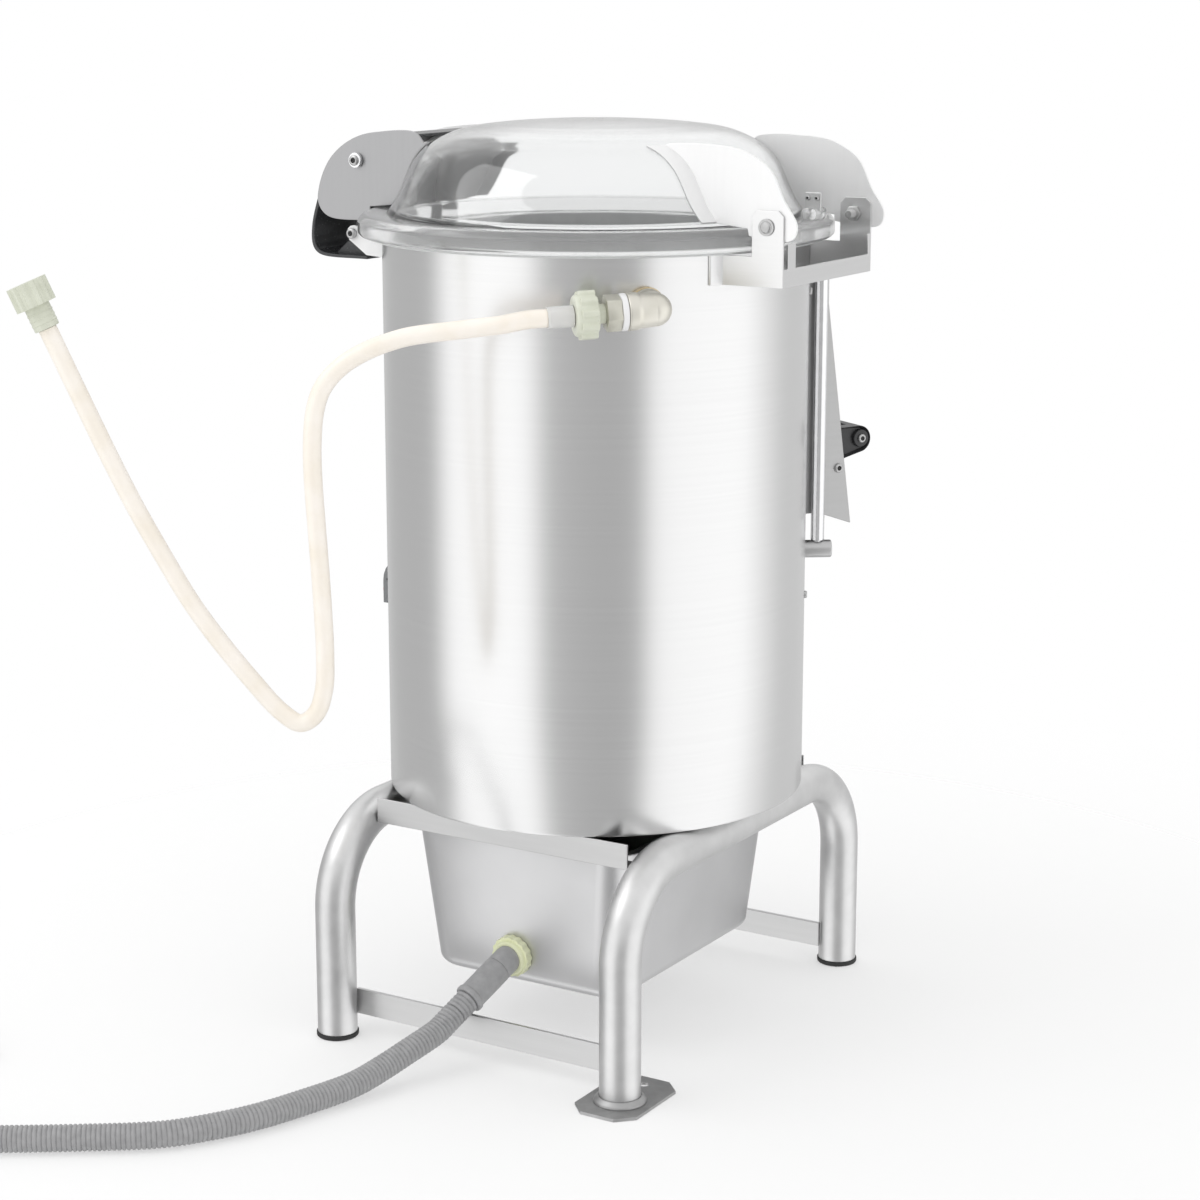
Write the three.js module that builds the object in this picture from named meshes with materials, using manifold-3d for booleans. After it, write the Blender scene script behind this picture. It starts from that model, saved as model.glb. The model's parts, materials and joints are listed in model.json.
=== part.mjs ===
// Electric potato peeler: a peeling drum on a tube stand, with a clear hinged lid, a side discharge
// door, a waste tray with its drain hose, a water inlet with its hose, and the belt drive inside.
// Millimetres. Z is up and the floor is z = 0; X points to the lid hinge, -Y to the drain side.
import * as THREE from "three";
import { mergeVertices } from "three/addons/utils/BufferGeometryUtils.js";
import Module from "manifold-3d";

const wasm = await Module();
wasm.setup();

// Clearances shared by all pieces
const seatGap = 0.3; // between faces that rest on each other
const pinGap = 0.4; // between a pin and its bore
const cutOverrun = 6; // how far a cutting tool passes a face
const mergeDistance = 0.0001;

// Numbers of sides
const drumSides = 40;
const tubeSides = 12;
const roundSides = 14;
const smallSides = 12;
const pulleySides = 20;

// Peeling drum
const drumRadius = 200;
const drumWall = 1.5;
const drumBottom = 228;
const drumHeight = 524;
const drumTop = drumBottom + drumHeight;
const drumBore = drumRadius - drumWall;

// Tube stand
const standTubeRadius = 19;
const standTubeWall = 1.5;
const standBendRadius = 82;
const standBendSteps = 5;
const standInset = 42;
const standHalfWidth = drumRadius - standInset;
const standOutset = 15.6;
const standHalfDepth = drumRadius + standOutset;
const standTubeBore = standTubeRadius - standTubeWall;
const standTop = drumBottom - seatGap - standTubeRadius;
const footHeight = 5;
const footRim = 1.2;
const footPlugLength = 18;
const lowerBarHeight = 25;
const lowerBarThickness = 4;
const lowerBarRise = 19;

// Tray rails: angle sections that cross between the two arches
const railHeight = 24;
const railThickness = 2;
const railFlange = 21;
const railOutset = 172;

// Floor plate under the front leg
const floorPlateHalfWidth = 32.5;
const floorPlateFront = 40;
const floorPlateBack = 59;
const floorPlateThickness = 3;
const floorPlateChamfer = 15;
const floorPlateHole = 4.8;
const floorPlateHoleReach = 42.6;
const floorRingWall = 5;
const floorRingHeight = 6;

// Waste tray
const trayHalfWidth = 119;
const trayHalfDepth = 149;
const trayFloorHalfWidth = 106;
const trayFloorHalfDepth = 136;
const trayRimHalfWidth = 132;
const trayRimHalfDepth = 162;
const trayDepth = 151;
const trayWall = 1.2;
const trayRimThickness = 1.5;
const trayCorner = 28;
const trayCornerSteps = 4;
const trayFloorRound = 12;

// Drain: a fitting in the tray wall, a cuff, the ribbed hose and its end cuff
const drainRise = 29.5;
const drainOffset = -6;
const drainSpigotRadius = 12.6;
const drainSpigotInside = 7;
const drainLockWidth = 3;
const drainNutRadius = 20;
const drainNutHeight = 12;
const drainNutLobes = 8;
const drainNutLobeDepth = 2.2;
const drainElbowRadius = 13;
const drainBarbRadius = 11;
const drainBarbWall = 2;
const drainBarbLength = 34;
const drainHeading = new THREE.Vector3(-0.194, -0.862, -0.461).normalize();
const cuffStart = 14;
const cuffLength = 62;
const cuffSocketRadius = 14.2;
const cuffSocketLength = 30;
const cuffBeadRadius = 15.2;
const cuffBeadLength = 3;
const cuffTailRadius = 12;
const hoseCrest = 12;
const hoseValley = 11;
const hoseBore = 8.5;
const hoseRibs = 100;
const hoseRibsPerBoreRing = 5;
const hoseSides = 8;
const hoseLoopRadius = 165;
const hoseLoopCentre = new THREE.Vector2(-535, -580);
const hoseLoopStart = THREE.MathUtils.degToRad(-65);
const hoseLoopTurn = THREE.MathUtils.degToRad(220);
const hoseLoopPoints = 12;
const hoseEndStraight = 30;
const hoseRestLift = 0.5;
const hoseRestHeight = hoseCrest + hoseRestLift;
const endCuffLength = 60;

// Water inlet at the drum wall
const inletAngle = THREE.MathUtils.degToRad(-45.9);
const inletDrop = 41;
const inletReach = 35;
const inletHeight = drumTop - inletDrop;
const inletBendRadius = drumRadius + inletReach;
const inletHeading = new THREE.Vector3(-0.7172, -0.6949, -0.0523).normalize();
const inletThread = 10.4;
const inletWaterway = 7;
const inletBushBore = 8.4;
const sleeveBore = 5.5;
const inletBushInside = 15;
const inletFlange = 16;
const inletFlangeHeight = 6;
const inletLockNut = 5;
const elbowRadius = 14;
const elbowBendRadius = 14.5;
const elbowOutlet = 25.3;
const elbowCollarRadius = 17;
const elbowCollarLength = 8;
const washerRadius = 15.5;
const washerThickness = 5.5;
const nippleHexRadius = 16.5;
const nippleHexLength = 13.3;
const unionNutRadius = 21.5;
const unionNutLength = 27;
const unionNutRibs = 12;
const unionNutRibDepth = 2;
const sleeveRadius = 9.5;
const sleeveLength = 23;
const waterHoseRadius = 8;
const waterHoseSides = 8;
const waterHoseSteps = 48;
const tapNutRadius = 18;
const tapNutLength = 20;
const tapTailRadius = 11;
const tapBore = 6;
const tapTailLength = 22;

// Lid: clear dome on a thick rim, turning about the hinge bolts
const lidRimOverhang = 22;
const lidRimRadius = drumRadius + lidRimOverhang;
const lidRimHeight = 20;
const lidRimRound = 6;
const lidLift = 3;
const lidBase = drumTop + lidLift;
const lidRimTop = lidBase + lidRimHeight;
const domeInset = 5;
const domeRadius = drumRadius - domeInset;
const domeRise = 86;
const domeWall = 3;
const domeSides = 32;
const domeRadiusShares = [1, 0.944, 0.867, 0.805, 0.728, 0.631, 0.497, 0.338];
const domeHeightShares = [0, 0.186, 0.558, 0.715, 0.814, 0.895, 0.942, 0.972];
const sealOutset = 11;
const sealInset = 6;
const sealThickness = lidLift - 2 * seatGap;
const sealSkirt = 8;

// Lid hinge: a sheet bracket on the drum, two ears with bolts, and two lid plates
const hingeReach = 26;
const hingeRise = 25.5;
const bracketSheet = 2;
const bracketHalfWidth = 85.9;
const bracketReach = 42.5;
const bracketRoot = 4.6;
const bracketDepth = 26.6;
const bracketLip = 16;
const nearTabInset = 9.4;
const nearTabWidth = 14.5;
const nearTabRise = 10.5;
const farTabWidth = 6.2;
const farTabRise = 7.5;
const bracketWing = 11;
const earWidth = 31;
const earRise = 40;
const earCorner = 5;
const hingeBoltRadius = 4;
const boltHeadRadius = 7.5;
const boltHeadHeight = 4;
const boltEnd = 12;
const lidPlateSheet = 2;
const lidPlateStrip = 13;
const hingePlateLength = 110;
const hingePlateHeight = 67.4;
const hingePlateShares = [
  [-0.99, 0.92],
  [-0.93, 1],
  [-0.31, 0.995],
  [-0.14, 0.9],
  [0.02, 0.72],
  [0.14, 0.35],
  [0.255, 0.05],
  [0.245, -0.1],
  [0.19, -0.17],
  [-0.56, -0.03],
];

// Latch: two lid plates, a fixed top cover and the swinging handle between them, and the catch
const latchReach = 27;
const latchRise = 66.4;
const latchPlateHalfSpan = 65.5;
const latchPlateLength = 78;
const latchPlateHeight = 55.6;
const latchPlateShares = [
  [1, 0.33],
  [0.87, 0.505],
  [0.28, 0.486],
  [0.04, 0.418],
  [-0.2, 0.262],
  [-0.4, 0.029],
  [-0.53, -0.253],
  [-0.6, -0.544],
  [-0.61, -0.72],
  [-0.55, -0.89],
  [-0.41, -1],
  [0.39, -1],
];
const coverSheet = 3;
const coverShares = [
  [0.9, 0.476],
  [0.28, 0.442],
  [0.04, 0.374],
  [-0.17, 0.228],
];
const latchPinRadius = 4;
const handleSpan = 62.7;
const handleLength = 58;
const handleDrop = 94;
const handleOuterShares = [
  [-0.603, -0.068],
  [-0.759, -0.249],
  [-0.897, -0.462],
  [-0.991, -0.674],
  [-1, -0.855],
  [-0.94, -0.935],
  [-0.8, -0.983],
  [0.138, -1],
];
const handleInnerShares = [
  [0.138, -0.968],
  [-0.767, -0.951],
  [-0.879, -0.914],
  [-0.934, -0.839],
  [-0.931, -0.68],
  [-0.836, -0.478],
  [-0.698, -0.27],
  [-0.543, -0.089],
];
const armShares = [
  [0.052, 0.113],
  [-0.12, 0.091],
  [-0.235, -0.035],
  [-0.56, -0.105],
  [-0.345, -0.409],
  [-0.224, -0.6],
  [-0.328, -0.791],
  [-0.672, -0.972],
  [0.129, -0.983],
  [0.172, -0.93],
  [0.172, -0.794],
  [-0.078, -0.794],
  [-0.083, -0.674],
  [0.017, -0.668],
  [0.19, -0.068],
  [0.198, 0.038],
];
const armSheet = 4;
const armSpan = 50;
const catchReach = 26;
const catchDrop = 2;
const catchPinRadius = 4;
const catchSpan = 72;
const catchSheet = 3;
const catchHeadRadius = 7.5;
const catchRootDepth = 24.5;
const catchLugShares = [
  [-1, -0.015],
  [0.31, -0.015],
  [0.92, 0.2],
  [1.2, -0.33],
  [0.42, -0.9],
  [-1, -1],
];

// Chamber and drive inside the drum
const chamberFloorThickness = 3;
const linerThickness = 5;
const linerGap = 2;
const linerTopDrop = 58;
const linerTop = drumTop - linerTopDrop;
const chamberWallRadius = drumBore - seatGap - drumWall;
const peelingPlateGap = 5.7;
const peelingPlateRadius = chamberWallRadius - linerThickness - peelingPlateGap;
const peelingPlateLift = 10;
const peelingPlateThickness = 9;
const peelingRidgeRadius = 9;
const peelingRidgeCount = 3;
const peelingRidgeInner = 34;
const peelingRidgeInset = 14;
const peelingRidgeOuter = peelingPlateRadius - peelingRidgeInset;
const shaftRadius = 12.5;
const shaftHubRadius = 24;
const shaftHubHeight = 14;
const shaftSeatRadius = 9;
const bearingClearance = 0.7;
const housingRadius = 34;
const housingFlange = 52;
const housingFlangeHeight = 8;
const housingHeight = 72;
const housingBore = 20;
const bearingRadius = 26;
const bearingHeight = 15;
const basePlateThickness = 4;
const pulleyHeight = 20;
const pulleyGroove = 5;
const drivenPulleyRadius = 75;
const motorPulleyRadius = 28;
const pulleyBore = 9;
const beltGap = 0.6;
const beltHeight = 10;
const beltThickness = 6;
const beltArcSteps = 12;
const motorAngle = THREE.MathUtils.degToRad(135);
const motorOrbit = 112;
const motorRadius = 58;
const motorShaftRadius = 9;
const motorFootHeight = 10;
const motorFootHalf = 50;
const motorHeight = 108;
const motorPulleyLift = 1.7;
const housingPulleyGap = 11.7;
const motorBase = drumBottom + basePlateThickness + seatGap;
const motorBodyBottom = motorBase + motorFootHeight;
const motorTop = motorBodyBottom + motorHeight;
const pulleyPlane = motorTop + motorPulleyLift + pulleyHeight / 2;
const housingBottom = pulleyPlane + pulleyHeight / 2 + housingPulleyGap;
const housingTop = housingBottom + housingHeight;
const chamberFloorHeight = housingTop + seatGap;
const motorTerminalHalf = 26;
const motorTerminalReach = 16;
const spoutRadius = 27;
const spoutWall = 2;
const spoutFlange = 36;
const spoutFlangeHeight = 3;
const spoutOffset = new THREE.Vector2(25, -115);
const spoutEnd = 190;

// Discharge door, in its own frame: forward is away from the drum, sideways is along the wall
const doorAngle = THREE.MathUtils.degToRad(60);
const rodRadius = 6.5;
const rodAngle = THREE.MathUtils.degToRad(36);
const rodStandOff = 13.5;
const rodOrbit = drumRadius + rodStandOff;
const rodPinRadius = 4;
const rodPinLength = 7;
const stubRadius = 8.5;
const stubProjection = 27;
const stubReach = drumRadius + stubProjection;
const lowerStubDrop = 5;
const lowerStubHeight = chamberFloorHeight - lowerStubDrop;
const upperStubDrop = 15.5;
const upperStubHeight = drumTop - upperStubDrop;
const doorHalfWidth = rodOrbit * Math.sin(doorAngle - rodAngle) - rodRadius - seatGap;
const doorTopDrop = 30;
const doorTop = drumTop - doorTopDrop;
const doorBottomRise = 28.5;
const doorBottom = chamberFloorHeight + doorBottomRise;
const doorBottomDrop = 13.5;
const doorBreakDrop = 65.5;
const doorBreak = drumTop - doorBreakDrop;
const doorTopReach = 8.2;
const doorBottomReach = 37.6;
const doorSheet = 2;
const doorPanel = 3;
const openingHalfWidth = 62;
const openingSill = 8;
const openingBottom = doorBottom + openingSill;
const openingTopDrop = 62;
const openingTop = drumTop - openingTopDrop;
const doorHandleRise = 59;
const doorHandleHeight = doorBottom + doorHandleRise;
const doorHandleHalfWidth = 56;
const doorHandleReach = 48.5;
const doorHandleArm = 14;
const doorHandleRoot = 17;
const doorHandleTip = 13;
const doorHandleGrip = 16;
const doorHandleEndShares = [
  [-1, -1],
  [-0.4, -0.8],
  [-0.08, -0.42],
  [-0.08, 0.42],
  [-0.4, 0.8],
  [-1, 1],
];

// Control box on the side of the drum away from the lid hinge
const boxHalfWidth = 38;
const boxDepth = 25;
const boxBottom = 382;
const boxFrontHeight = 23;
const boxHeight = 47;
const boxWall = 2;
const boxArcSteps = 6;
const controlRise = 12;
const controlHeight = boxBottom + controlRise;
const glandRadius = 7;
const glandLength = 14;
const glandBoreRadius = 4.5;
const glandOffset = 20;
const buttonRadius = 7.5;
const buttonReach = 5;
const buttonFlange = 9.2;
const buttonFlangeThickness = 2;
const buttonStem = 6;
const startButtonPlace = -3;
const stopButtonPlace = -25;
const knobPlace = 22;
const knobRadius = 11;
const knobLength = 12;
const knobShaftRadius = 3;
const knobRib = 2;

// Finishes
const steel = new THREE.MeshStandardMaterial({ color: 0xc9cacb, roughness: 0.32, metalness: 1 });
const tubeSteel = new THREE.MeshStandardMaterial({ color: 0xb4b3b1, roughness: 0.42, metalness: 1 });
const sheetSteel = new THREE.MeshStandardMaterial({ color: 0xbfbfbe, roughness: 0.38, metalness: 1 });
const brass = new THREE.MeshStandardMaterial({ color: 0xb59a63, roughness: 0.35, metalness: 1 });
const nickel = new THREE.MeshStandardMaterial({ color: 0xb9b3a4, roughness: 0.3, metalness: 1 });
const clearPlastic = new THREE.MeshStandardMaterial({ color: 0xe9edf0, roughness: 0.08, metalness: 0 });
const blackPlastic = new THREE.MeshStandardMaterial({ color: 0x17181a, roughness: 0.45, metalness: 0 });
const greyPlastic = new THREE.MeshStandardMaterial({ color: 0x4a4c4f, roughness: 0.5, metalness: 0 });
const rubber = new THREE.MeshStandardMaterial({ color: 0x1c1c1d, roughness: 0.8, metalness: 0 });
const paleGreen = new THREE.MeshStandardMaterial({ color: 0xd9dfb6, roughness: 0.5, metalness: 0 });
const hoseGrey = new THREE.MeshStandardMaterial({ color: 0x8d8e90, roughness: 0.6, metalness: 0 });
const hoseCream = new THREE.MeshStandardMaterial({ color: 0xf1e9d8, roughness: 0.4, metalness: 0 });
const whitePlastic = new THREE.MeshStandardMaterial({ color: 0xf0f0ec, roughness: 0.5, metalness: 0 });
const abrasive = new THREE.MeshStandardMaterial({ color: 0x55585b, roughness: 0.95, metalness: 0 });
const castIron = new THREE.MeshStandardMaterial({ color: 0x6d7073, roughness: 0.6, metalness: 0.8 });
const motorGrey = new THREE.MeshStandardMaterial({ color: 0x5c6a74, roughness: 0.55, metalness: 0.3 });
const green = new THREE.MeshStandardMaterial({ color: 0x2f8f4a, roughness: 0.4, metalness: 0 });
const red = new THREE.MeshStandardMaterial({ color: 0xb3261e, roughness: 0.4, metalness: 0 });

const alongX = new THREE.Vector3(1, 0, 0);
const alongY = new THREE.Vector3(0, 1, 0);
const alongZ = new THREE.Vector3(0, 0, 1);
const fullTurn = 2 * Math.PI;
const rightAngle = Math.PI / 2;

// Solids and geometries

function solidOf(geometry) {
  const bare = new THREE.BufferGeometry();
  bare.setAttribute("position", geometry.getAttribute("position"));
  bare.setIndex(geometry.index);
  const merged = mergeVertices(bare, mergeDistance);
  const corners = merged.index.array;
  const triangles = [];
  for (let i = 0; i < corners.length; i += 3) {
    const [a, b, c] = [corners[i], corners[i + 1], corners[i + 2]];
    if (a !== b && b !== c && c !== a) triangles.push(a, b, c);
  }
  const vertProperties = merged.getAttribute("position").array;
  const build = (triVerts) => new wasm.Manifold(new wasm.Mesh({ numProp: 3, vertProperties, triVerts }));
  const solid = build(new Uint32Array(triangles));
  return solid.volume() < 0 ? build(new Uint32Array(triangles.reverse())) : solid;
}

function geometryOf(solid) {
  const mesh = solid.getMesh();
  const geometry = new THREE.BufferGeometry();
  geometry.setAttribute("position", new THREE.BufferAttribute(mesh.vertProperties, mesh.numProp));
  geometry.setIndex(new THREE.BufferAttribute(mesh.triVerts, 1));
  geometry.computeVertexNormals();
  return geometry;
}

function join(...parts) {
  return geometryOf(parts.map(solidOf).reduce((whole, part) => whole.add(part)));
}

function cut(body, ...tools) {
  return geometryOf(tools.map(solidOf).reduce((left, tool) => left.subtract(tool), solidOf(body)));
}

function common(first, second) {
  return geometryOf(solidOf(first).intersect(solidOf(second)));
}

function closed(geometry) {
  return geometryOf(solidOf(geometry));
}

// A profile of [radius, height] points, closed on itself or on the axis, turned about Z.
function turned(profile, sides) {
  const points = profile.map(([radius, height]) => new THREE.Vector2(radius, height));
  points.push(points[0].clone());
  return closed(new THREE.LatheGeometry(points, sides).rotateX(rightAngle));
}

function disc(radius, bottom, top, sides = roundSides) {
  const length = top - bottom;
  const height = (top + bottom) / 2;
  return new THREE.CylinderGeometry(radius, radius, length, sides).rotateX(rightAngle).translate(0, 0, height);
}

function ring(outer, inner, bottom, top, sides = roundSides) {
  return turned([[inner, bottom], [outer, bottom], [outer, top], [inner, top]], sides);
}

function block(lowX, highX, lowY, highY, lowZ, highZ) {
  const geometry = new THREE.BoxGeometry(highX - lowX, highY - lowY, highZ - lowZ);
  return geometry.translate((lowX + highX) / 2, (lowY + highY) / 2, (lowZ + highZ) / 2);
}

// Turns a geometry built along +Z so that it runs along a direction from a point.
function aimed(geometry, from, direction) {
  const turn = new THREE.Quaternion().setFromUnitVectors(alongZ, direction);
  return geometry.applyQuaternion(turn).translate(from.x, from.y, from.z);
}

function shapeOf(points) {
  return new THREE.Shape(points.map(([x, y]) => new THREE.Vector2(x, y)));
}

function polygon(radius, sides) {
  const points = [];
  for (let i = 0; i < sides; i++) {
    const angle = (fullTurn * i) / sides;
    points.push([radius * Math.cos(angle), radius * Math.sin(angle)]);
  }
  return points;
}

// Ribs round a nut: the outline steps between two radii.
function lobed(radius, lobes, depth) {
  const points = [];
  const radii = [radius, radius, radius - depth, radius - depth];
  for (let i = 0; i < lobes * radii.length; i++) {
    const angle = (fullTurn * i) / (lobes * radii.length);
    const reach = radii[i % radii.length];
    points.push([reach * Math.cos(angle), reach * Math.sin(angle)]);
  }
  return points;
}

function roundedRectangle(halfWidth, halfDepth, radius, steps) {
  const corners = [[1, 1], [-1, 1], [-1, -1], [1, -1]];
  const points = [];
  corners.forEach(([sideX, sideY], quarter) => {
    for (let i = 0; i <= steps; i++) {
      const angle = rightAngle * (quarter + i / steps);
      const x = sideX * (halfWidth - radius) + radius * Math.cos(angle);
      const y = sideY * (halfDepth - radius) + radius * Math.sin(angle);
      points.push([x, y]);
    }
  });
  return points;
}

function extrudedUp(points, bottom, top) {
  const settings = { depth: top - bottom, bevelEnabled: false };
  return new THREE.ExtrudeGeometry(shapeOf(points), settings).translate(0, 0, bottom);
}

// An outline in X and Z, extruded along Y.
function extrudedAcross(points, lowY, highY) {
  const settings = { depth: highY - lowY, bevelEnabled: false };
  const geometry = new THREE.ExtrudeGeometry(shapeOf(points), settings);
  const frame = new THREE.Matrix4().makeBasis(alongX, alongZ, alongY.clone().negate());
  return geometry.applyMatrix4(frame).translate(0, highY, 0);
}

// An outline in Y and Z, extruded along X.
function extrudedLengthwise(points, lowX, highX) {
  const settings = { depth: highX - lowX, bevelEnabled: false };
  const geometry = new THREE.ExtrudeGeometry(shapeOf(points), settings);
  const frame = new THREE.Matrix4().makeBasis(alongY, alongZ, alongX);
  return geometry.applyMatrix4(frame).translate(lowX, 0, 0);
}

// An outline whose size changes from station to station up Z.
function lofted(points, stations) {
  const steps = stations.length - 1;
  const geometry = new THREE.ExtrudeGeometry(shapeOf(points), { depth: steps, steps, bevelEnabled: false });
  const position = geometry.getAttribute("position");
  for (let i = 0; i < position.count; i++) {
    const station = stations[Math.round(position.getZ(i))];
    position.setXYZ(i, position.getX(i) * station.x, position.getY(i) * station.y, station.z);
  }
  return geometry;
}

// A path given by its own stations, so that straight runs take one step and bends take several.
class StationPath extends THREE.Curve {
  constructor(stations) {
    super();
    this.stations = stations;
  }
  stationAt(share) {
    return this.stations[Math.round(share * (this.stations.length - 1))];
  }
  getPoint(share) {
    return this.stationAt(share).point.clone();
  }
  getPointAt(share) {
    return this.getPoint(share);
  }
  getTangent(share) {
    return this.stationAt(share).heading.clone();
  }
  getTangentAt(share, target = new THREE.Vector3()) {
    return target.copy(this.stationAt(share).heading);
  }
}

function sweptTube(path, steps, outer, inner, sides) {
  const section = shapeOf(polygon(outer, sides));
  if (inner) section.holes.push(shapeOf(polygon(inner, sides)));
  return closed(new THREE.ExtrudeGeometry(section, { steps, extrudePath: path, bevelEnabled: false }));
}

// Shares of a length and a height, laid out from a point.
function laidOut(shares, length, height, originX, originZ) {
  return shares.map(([x, z]) => [originX + x * length, originZ + z * height]);
}

// Scene graph: each moving group stands on its own axis

const machine = new THREE.Group();

function groupAt(parent, point) {
  const group = new THREE.Group();
  const origin = point.clone();
  group.position.copy(origin).sub(parent.userData.origin);
  group.userData.origin = origin;
  parent.add(group);
  return group;
}

function piece(group, name, geometry, material) {
  const { x, y, z } = group.userData.origin;
  const mesh = new THREE.Mesh(closed(geometry).translate(-x, -y, -z), material);
  mesh.name = name;
  group.add(mesh);
  return mesh;
}

machine.userData.origin = new THREE.Vector3();

const hingeAxis = new THREE.Vector3(drumRadius + hingeReach, 0, drumTop + hingeRise);
const latchAxis = new THREE.Vector3(-(drumRadius + latchReach), 0, drumTop + latchRise);
const rodAxis = new THREE.Vector3(rodOrbit * Math.cos(rodAngle), rodOrbit * Math.sin(rodAngle), lowerStubHeight);
const motorAxis = new THREE.Vector3(motorOrbit * Math.cos(motorAngle), motorOrbit * Math.sin(motorAngle), pulleyPlane);
const spindleAxis = new THREE.Vector3(0, 0, pulleyPlane);

const lid = groupAt(machine, hingeAxis);
const latch = groupAt(lid, latchAxis);
const door = groupAt(machine, rodAxis);
const spindle = groupAt(machine, spindleAxis);
const motorRotor = groupAt(machine, motorAxis);

function drumEnvelope(extra, bottom = drumBottom, top = drumTop) {
  return disc(drumRadius + extra, bottom - cutOverrun, top + cutOverrun, drumSides);
}

// Stand

function archPath() {
  const stations = [];
  const add = (y, z, headingY, headingZ) => {
    const heading = new THREE.Vector3(0, headingY, headingZ);
    stations.push({ point: new THREE.Vector3(0, y, z), heading });
  };
  const shoulder = standTop - standBendRadius;
  const bendY = standHalfDepth - standBendRadius;
  add(-standHalfDepth, footHeight, 0, 1);
  for (let i = 0; i <= standBendSteps; i++) {
    const angle = (rightAngle * i) / standBendSteps;
    const y = -bendY - standBendRadius * Math.cos(angle);
    add(y, shoulder + standBendRadius * Math.sin(angle), Math.sin(angle), Math.cos(angle));
  }
  for (let i = 0; i <= standBendSteps; i++) {
    const angle = (rightAngle * i) / standBendSteps;
    const y = bendY + standBendRadius * Math.sin(angle);
    add(y, shoulder + standBendRadius * Math.cos(angle), Math.cos(angle), -Math.sin(angle));
  }
  add(standHalfDepth, footHeight, 0, -1);
  return stations;
}

function footPlug(radius, bottom) {
  const top = footHeight - seatGap;
  const plug = standTubeBore - seatGap - pinGap;
  const profile = [
    [0, bottom],
    [radius - footRim, bottom],
    [radius, bottom + footRim],
    [radius, top],
    [plug, top],
    [plug, top + footPlugLength],
    [0, top + footPlugLength],
  ];
  return turned(profile, roundSides);
}

function makeStand() {
  for (const [side, name] of [[-1, "left"], [1, "right"]]) {
    const stations = archPath();
    const arch = sweptTube(new StationPath(stations), stations.length - 1, standTubeRadius, standTubeBore, tubeSides);
    piece(machine, `stand_arch_${name}`, arch.translate(side * standHalfWidth, 0, 0), tubeSteel);
  }
  const railBottom = drumBottom - seatGap - railHeight;
  const railEnd = standHalfWidth - standTubeRadius - seatGap;
  const railOutline = [
    [railOutset - railFlange, railBottom],
    [railOutset, railBottom],
    [railOutset, railBottom + railHeight],
    [railOutset - railThickness, railBottom + railHeight],
    [railOutset - railThickness, railBottom + railThickness],
    [railOutset - railFlange, railBottom + railThickness],
  ];
  const barFoot = standTubeRadius - lowerBarThickness;
  const barEnd = standHalfWidth - Math.sqrt(standTubeRadius ** 2 - barFoot ** 2) - seatGap;
  const barInner = standHalfDepth - standTubeRadius;
  const barTop = lowerBarRise + lowerBarHeight;
  for (const [turn, name] of [[Math.PI, "near"], [0, "far"]]) {
    const rail = extrudedLengthwise(railOutline, -railEnd, railEnd);
    piece(machine, `tray_rail_${name}`, rail.rotateZ(turn), sheetSteel);
    const bar = block(-barEnd, barEnd, barInner, barInner + lowerBarThickness, lowerBarRise, barTop);
    piece(machine, `lower_bar_${name}`, bar.rotateZ(turn), sheetSteel);
  }
  const feet = [[-1, -1, "left_near"], [-1, 1, "left_far"], [1, 1, "right_far"]];
  for (const [sideX, sideY, name] of feet) {
    const foot = footPlug(standTubeRadius + footRim, 0);
    piece(machine, `foot_${name}`, foot.translate(sideX * standHalfWidth, sideY * standHalfDepth, 0), rubber);
  }
}

function makeFloorPlate() {
  const corner = floorPlateChamfer;
  const half = floorPlateHalfWidth;
  const outline = [
    [-half + corner, -floorPlateFront],
    [half - corner, -floorPlateFront],
    [half, -floorPlateFront + corner],
    [half, floorPlateBack - corner],
    [half - corner, floorPlateBack],
    [-half + corner, floorPlateBack],
    [-half, floorPlateBack - corner],
    [-half, -floorPlateFront + corner],
  ];
  const sheet = extrudedUp(outline, 0, floorPlateThickness);
  const ringBore = standTubeRadius + seatGap + pinGap;
  const collar = ring(ringBore + floorRingWall, ringBore, floorPlateThickness - footRim, floorPlateThickness + floorRingHeight);
  const hole = disc(floorPlateHole, -cutOverrun, cutOverrun, smallSides).translate(0, floorPlateHoleReach, 0);
  const plate = cut(join(sheet, footPlug(ringBore + footRim, footRim), collar), hole);
  piece(machine, "floor_plate", plate.translate(standHalfWidth, -standHalfDepth, 0), sheetSteel);
}

// Waste tray and drain

const trayRimBottom = drumBottom - seatGap - railHeight + railThickness + seatGap;
const trayTop = trayRimBottom + trayRimThickness;
const trayBottom = trayTop - trayDepth;

function trayBody(inset, bottom, top) {
  const across = trayHalfWidth - inset;
  const along = trayHalfDepth - inset;
  const round = trayFloorRound - inset;
  const station = (z, shrink, slope) => {
    const x = (trayFloorHalfWidth - inset - shrink) * (1 - slope) + across * slope;
    const y = (trayFloorHalfDepth - inset - shrink) * (1 - slope) + along * slope;
    return { x: x / across, y: y / along, z };
  };
  const mid = Math.sin(rightAngle / 2);
  const stations = [
    station(bottom, round, 0),
    station(bottom + round * (1 - mid), round * (1 - mid), 0),
    station(bottom + round, 0, 0),
    station(top, 0, 1),
  ];
  return lofted(roundedRectangle(across, along, trayCorner - inset, trayCornerSteps), stations);
}

const drainHeight = trayBottom + drainRise;
const trayLean = (trayHalfDepth - trayFloorHalfDepth) / (trayTop - trayBottom - trayFloorRound);
const trayWallAtDrain = trayFloorHalfDepth + (drainRise - trayFloorRound) * trayLean;
const drainPlace = new THREE.Vector3(drainOffset, -trayWallAtDrain, drainHeight);
const drainNormal = new THREE.Vector3(0, -1, -trayLean).normalize();
const drainElbow = drainPlace.clone().addScaledVector(drainNormal, seatGap + drainNutHeight);
const cuffFoot = drainElbow.clone().addScaledVector(drainHeading, cuffStart);
const cuffEnd = cuffFoot.clone().addScaledVector(drainHeading, cuffLength);

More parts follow.
